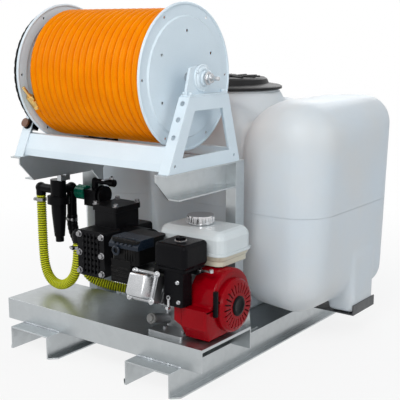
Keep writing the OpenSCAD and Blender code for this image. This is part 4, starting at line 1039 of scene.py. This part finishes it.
def muffler_skirt():
    """Heat shield under the muffler, before its pipe: a sheet with louvres and a side turned back."""
    muffler_low, side_depth, side_sheet = 0.239, 0.062, 0.0025
    low = ENGINE + Vector((-0.1955, -0.1990, 0.172))
    high = ENGINE + Vector((-0.1100, -0.1958, muffler_low + 0.012))
    louvres = [low.z + 0.010 + 0.0125 * i for i in range(4)]
    sheet = block(low, high)
    edit(sheet)
    pressed_row(sheet, 2, louvres, 0.006, lambda n: n.y < -0.9, 0.0012, 0.0022)
    put_down()
    side = block(low, (low.x + side_sheet, low.y + side_depth, ENGINE.z + muffler_low + 0.002))
    piece(joined([sheet, side]), "muffler_skirt", "skid", BLACK_STEEL, (), 25)


def reach(outline, turn):
    """How far an outline about the crank lies along a direction."""
    way, far = Vector((math.cos(turn), math.sin(turn))), 0.0
    for a, b in zip(outline, outline[1:] + outline[:1]):
        across = way.cross(b - a)
        if abs(across) > 1e-9 and -1e-6 <= a.cross(way) / across <= 1 + 1e-6:
            far = max(far, a.cross(b - a) / across)
    return far


def fan_housing():
    """The fan's shroud: two rounds about the crank, a flap drawn out low in front, a soft outer rim."""
    inner, outer, rim = 0.0625, 0.160, 0.010
    round_low, round_high, lift, bore = 0.098, 0.108, 0.014, 0.080
    flap_y, flap_top, flap_low, flap_foot = -0.150, 0.012, -0.052, -0.096
    corners = [Vector((flap_y, flap_low)), Vector((flap_y + 0.028, flap_foot)), Vector((flap_y, flap_top))]
    behind = ((0, flap_foot), (0, 0.060), (-0.060, 0.060), (-0.095, flap_top))
    flap = corners[:2] + [Vector(at) for at in behind] + corners[2:]
    turns = [2 * math.pi * i / 120 for i in range(120)]
    turns = sorted(turns + [math.atan2(c.y, c.x) % (2 * math.pi) for c in corners])
    housing, mesh = blank()
    for hole in (False, True):
        points = []
        for turn in turns:
            top = lift * math.sin(turn) + math.sqrt(round_high ** 2 - (lift * math.cos(turn)) ** 2)
            r = bore if hole else max(round_low, top, reach(flap, turn))
            points.append(mesh.verts.new((outer, r * math.cos(turn), r * math.sin(turn))))
        for ends in zip(points, points[1:] + points[:1]):
            mesh.edges.new(ends)
    bmesh.update_edit_mesh(housing.data)
    bpy.ops.mesh.select_mode(type="EDGE")
    pick_all()
    bpy.ops.mesh.bridge_edge_loops()
    pick_all()
    bpy.ops.mesh.extrude_region_move(TRANSFORM_OT_translate={"value": (inner - outer, 0, 0)})
    pick_all()
    bpy.ops.mesh.normals_make_consistent(inside=False)
    pick(housing, lambda at, n: at.x > outer - 1e-4 and at.yz.length > bore + 0.005, "VERT")
    bpy.ops.mesh.bevel(offset=rim, segments=4, affect="EDGES")
    put_down()
    tongue = block((0.034, flap_y, flap_low), (inner + 0.001, flap_y + 0.003, flap_top))
    edit(tongue)
    pick(tongue, lambda at, n: at.x < inner and at.z < 0, "VERT")
    bpy.ops.transform.translate(value=(0, 0, 0.014))
    put_down()
    housing = into_mesh(joined([housing, tongue]), Matrix.Translation(CRANK))
    piece(housing, "fan_housing", "skid", SHROUD_RED, ["fan_shroud"])


def cleaner_washer():
    """Plated washer round the air cleaner's boss, under its knob."""
    bore, rim, thick = 0.0143, 0.0210, 0.0018
    profile = [(bore, 0.0), (rim, 0.0), (rim, 0.0010), (0.0198, thick), (bore, thick), (bore, 0.0)]
    washer = turned(profile, 48, Matrix.Translation(ENGINE + Vector((0.038, -0.118, 0.330))))
    piece(washer, "cleaner_washer", "skid", BRIGHT_STEEL)


def recoil_hub():
    """Dished black disc in the middle of the recoil cover."""
    cover_face = 0.186
    profile = [(0.0, 0.0), (0.034, 0.0), (0.034, 0.0022), (0.030, 0.0040), (0.024, 0.0046), (0.022, 0.0036),
               (0.0, 0.0046)]
    hub = turned(profile, 48, facing(TO_RIGHT, CRANK + cover_face * TO_RIGHT))
    piece(hub, "recoil_hub", "skid", BLACK_PLASTIC)


# studio
LAMP_AIM = Vector((0, 0, 0.55))
# name, place, size across, power and colour
LAMPS = (
    ("key", (1.2, -3.4, 3.6), 2.4, 100, (1.0, 0.99, 0.97)),
    ("front", (2.5, -3.3, 1.5), 1.4, 20, (1.0, 1.0, 1.0)),
    ("side", (3.8, 0.6, 2.4), 2.6, 26, (0.90, 0.96, 1.0)),
    ("left", (-3.6, -1.6, 2.6), 2.4, 44, (0.95, 0.98, 1.0)),
    ("back", (-1.0, 3.6, 3.0), 2.6, 46, (1.0, 1.0, 1.0)))


def seen_white(tree, lit, white, output, fade=1.0):
    """The camera and reflections see the white shader, faded by a share. Other light meets the lit one."""
    path = tree.nodes.new("ShaderNodeLightPath")
    seen = maths(tree, "MAXIMUM", path.outputs["Is Camera Ray"], path.outputs["Is Glossy Ray"])
    seen = maths(tree, "MAXIMUM", seen, path.outputs["Is Transmission Ray"])
    mix = tree.nodes.new("ShaderNodeMixShader")
    tree.links.new(maths(tree, "MULTIPLY", seen, fade), mix.inputs[0])
    tree.links.new(lit.outputs[0], mix.inputs[1])
    tree.links.new(white.outputs[0], mix.inputs[2])
    tree.links.new(mix.outputs[0], tree.nodes[output].inputs["Surface"])


def pale_floor():
    put_down()
    bpy.ops.mesh.primitive_plane_add(size=24)
    floor = bpy.context.object
    floor.name = "floor"
    material = bpy.data.materials.new("pale_floor")
    material.use_nodes = True
    tree = material.node_tree
    lit = tree.nodes["Principled BSDF"]
    lit.inputs["Base Color"].default_value = (0.74, 0.74, 0.74, 1)
    lit.inputs["Roughness"].default_value = 0.9
    where = tree.nodes.new("ShaderNodeTexCoord")
    away = tree.nodes.new("ShaderNodeVectorMath")
    away.operation = "LENGTH"
    tree.links.new(where.outputs["Object"], away.inputs[0])
    fade = spread_range(tree, away.outputs["Value"], 0.9, 2.6, 0.84, 1.0)
    seen_white(tree, lit, tree.nodes.new("ShaderNodeEmission"), "Material Output", fade)
    floor.data.materials.append(material)


def soft_light():
    """A pale sky that shows as white, and five round lamps."""
    world = bpy.data.worlds.new("studio")
    scene.world = world
    world.use_nodes = True
    tree = world.node_tree
    sky = tree.nodes["Background"]
    sky.inputs["Color"].default_value = (0.92, 0.96, 1.0, 1)
    sky.inputs["Strength"].default_value = 0.34
    white = tree.nodes.new("ShaderNodeBackground")
    white.inputs["Color"].default_value = (1, 1, 1, 1)
    seen_white(tree, sky, white, "World Output")
    for name, at, size, power, colour in LAMPS:
        lamp = bpy.data.lights.new(name, "AREA")
        lamp.shape = "DISK"
        lamp.size = size
        lamp.energy = power
        lamp.color = colour
        obj = bpy.data.objects.new(name, lamp)
        scene.collection.objects.link(obj)
        obj.location = at
        obj.rotation_euler = (LAMP_AIM - Vector(at)).to_track_quat("-Z", "Y").to_euler()


# the scene, piece by piece
photo_camera()
lime_hose("suction_line", SUCTION_ROUTE, "suction_hose")
lime_hose("tank_line", TANK_ROUTE, "tank_hose", "tank_line_cuff")
wound_hose()
moulded_tank()
drive_chain()
pump_bolts()
rocker_cover()
reel_bearings()
swivel_nut()
carburetor_screws()
weld_beads()
pump_ribs()
muffler_guard()
muffler_skirt()
fan_housing()
cleaner_washer()
lid_ribs()
recoil_hub()
pale_floor()
soft_light()
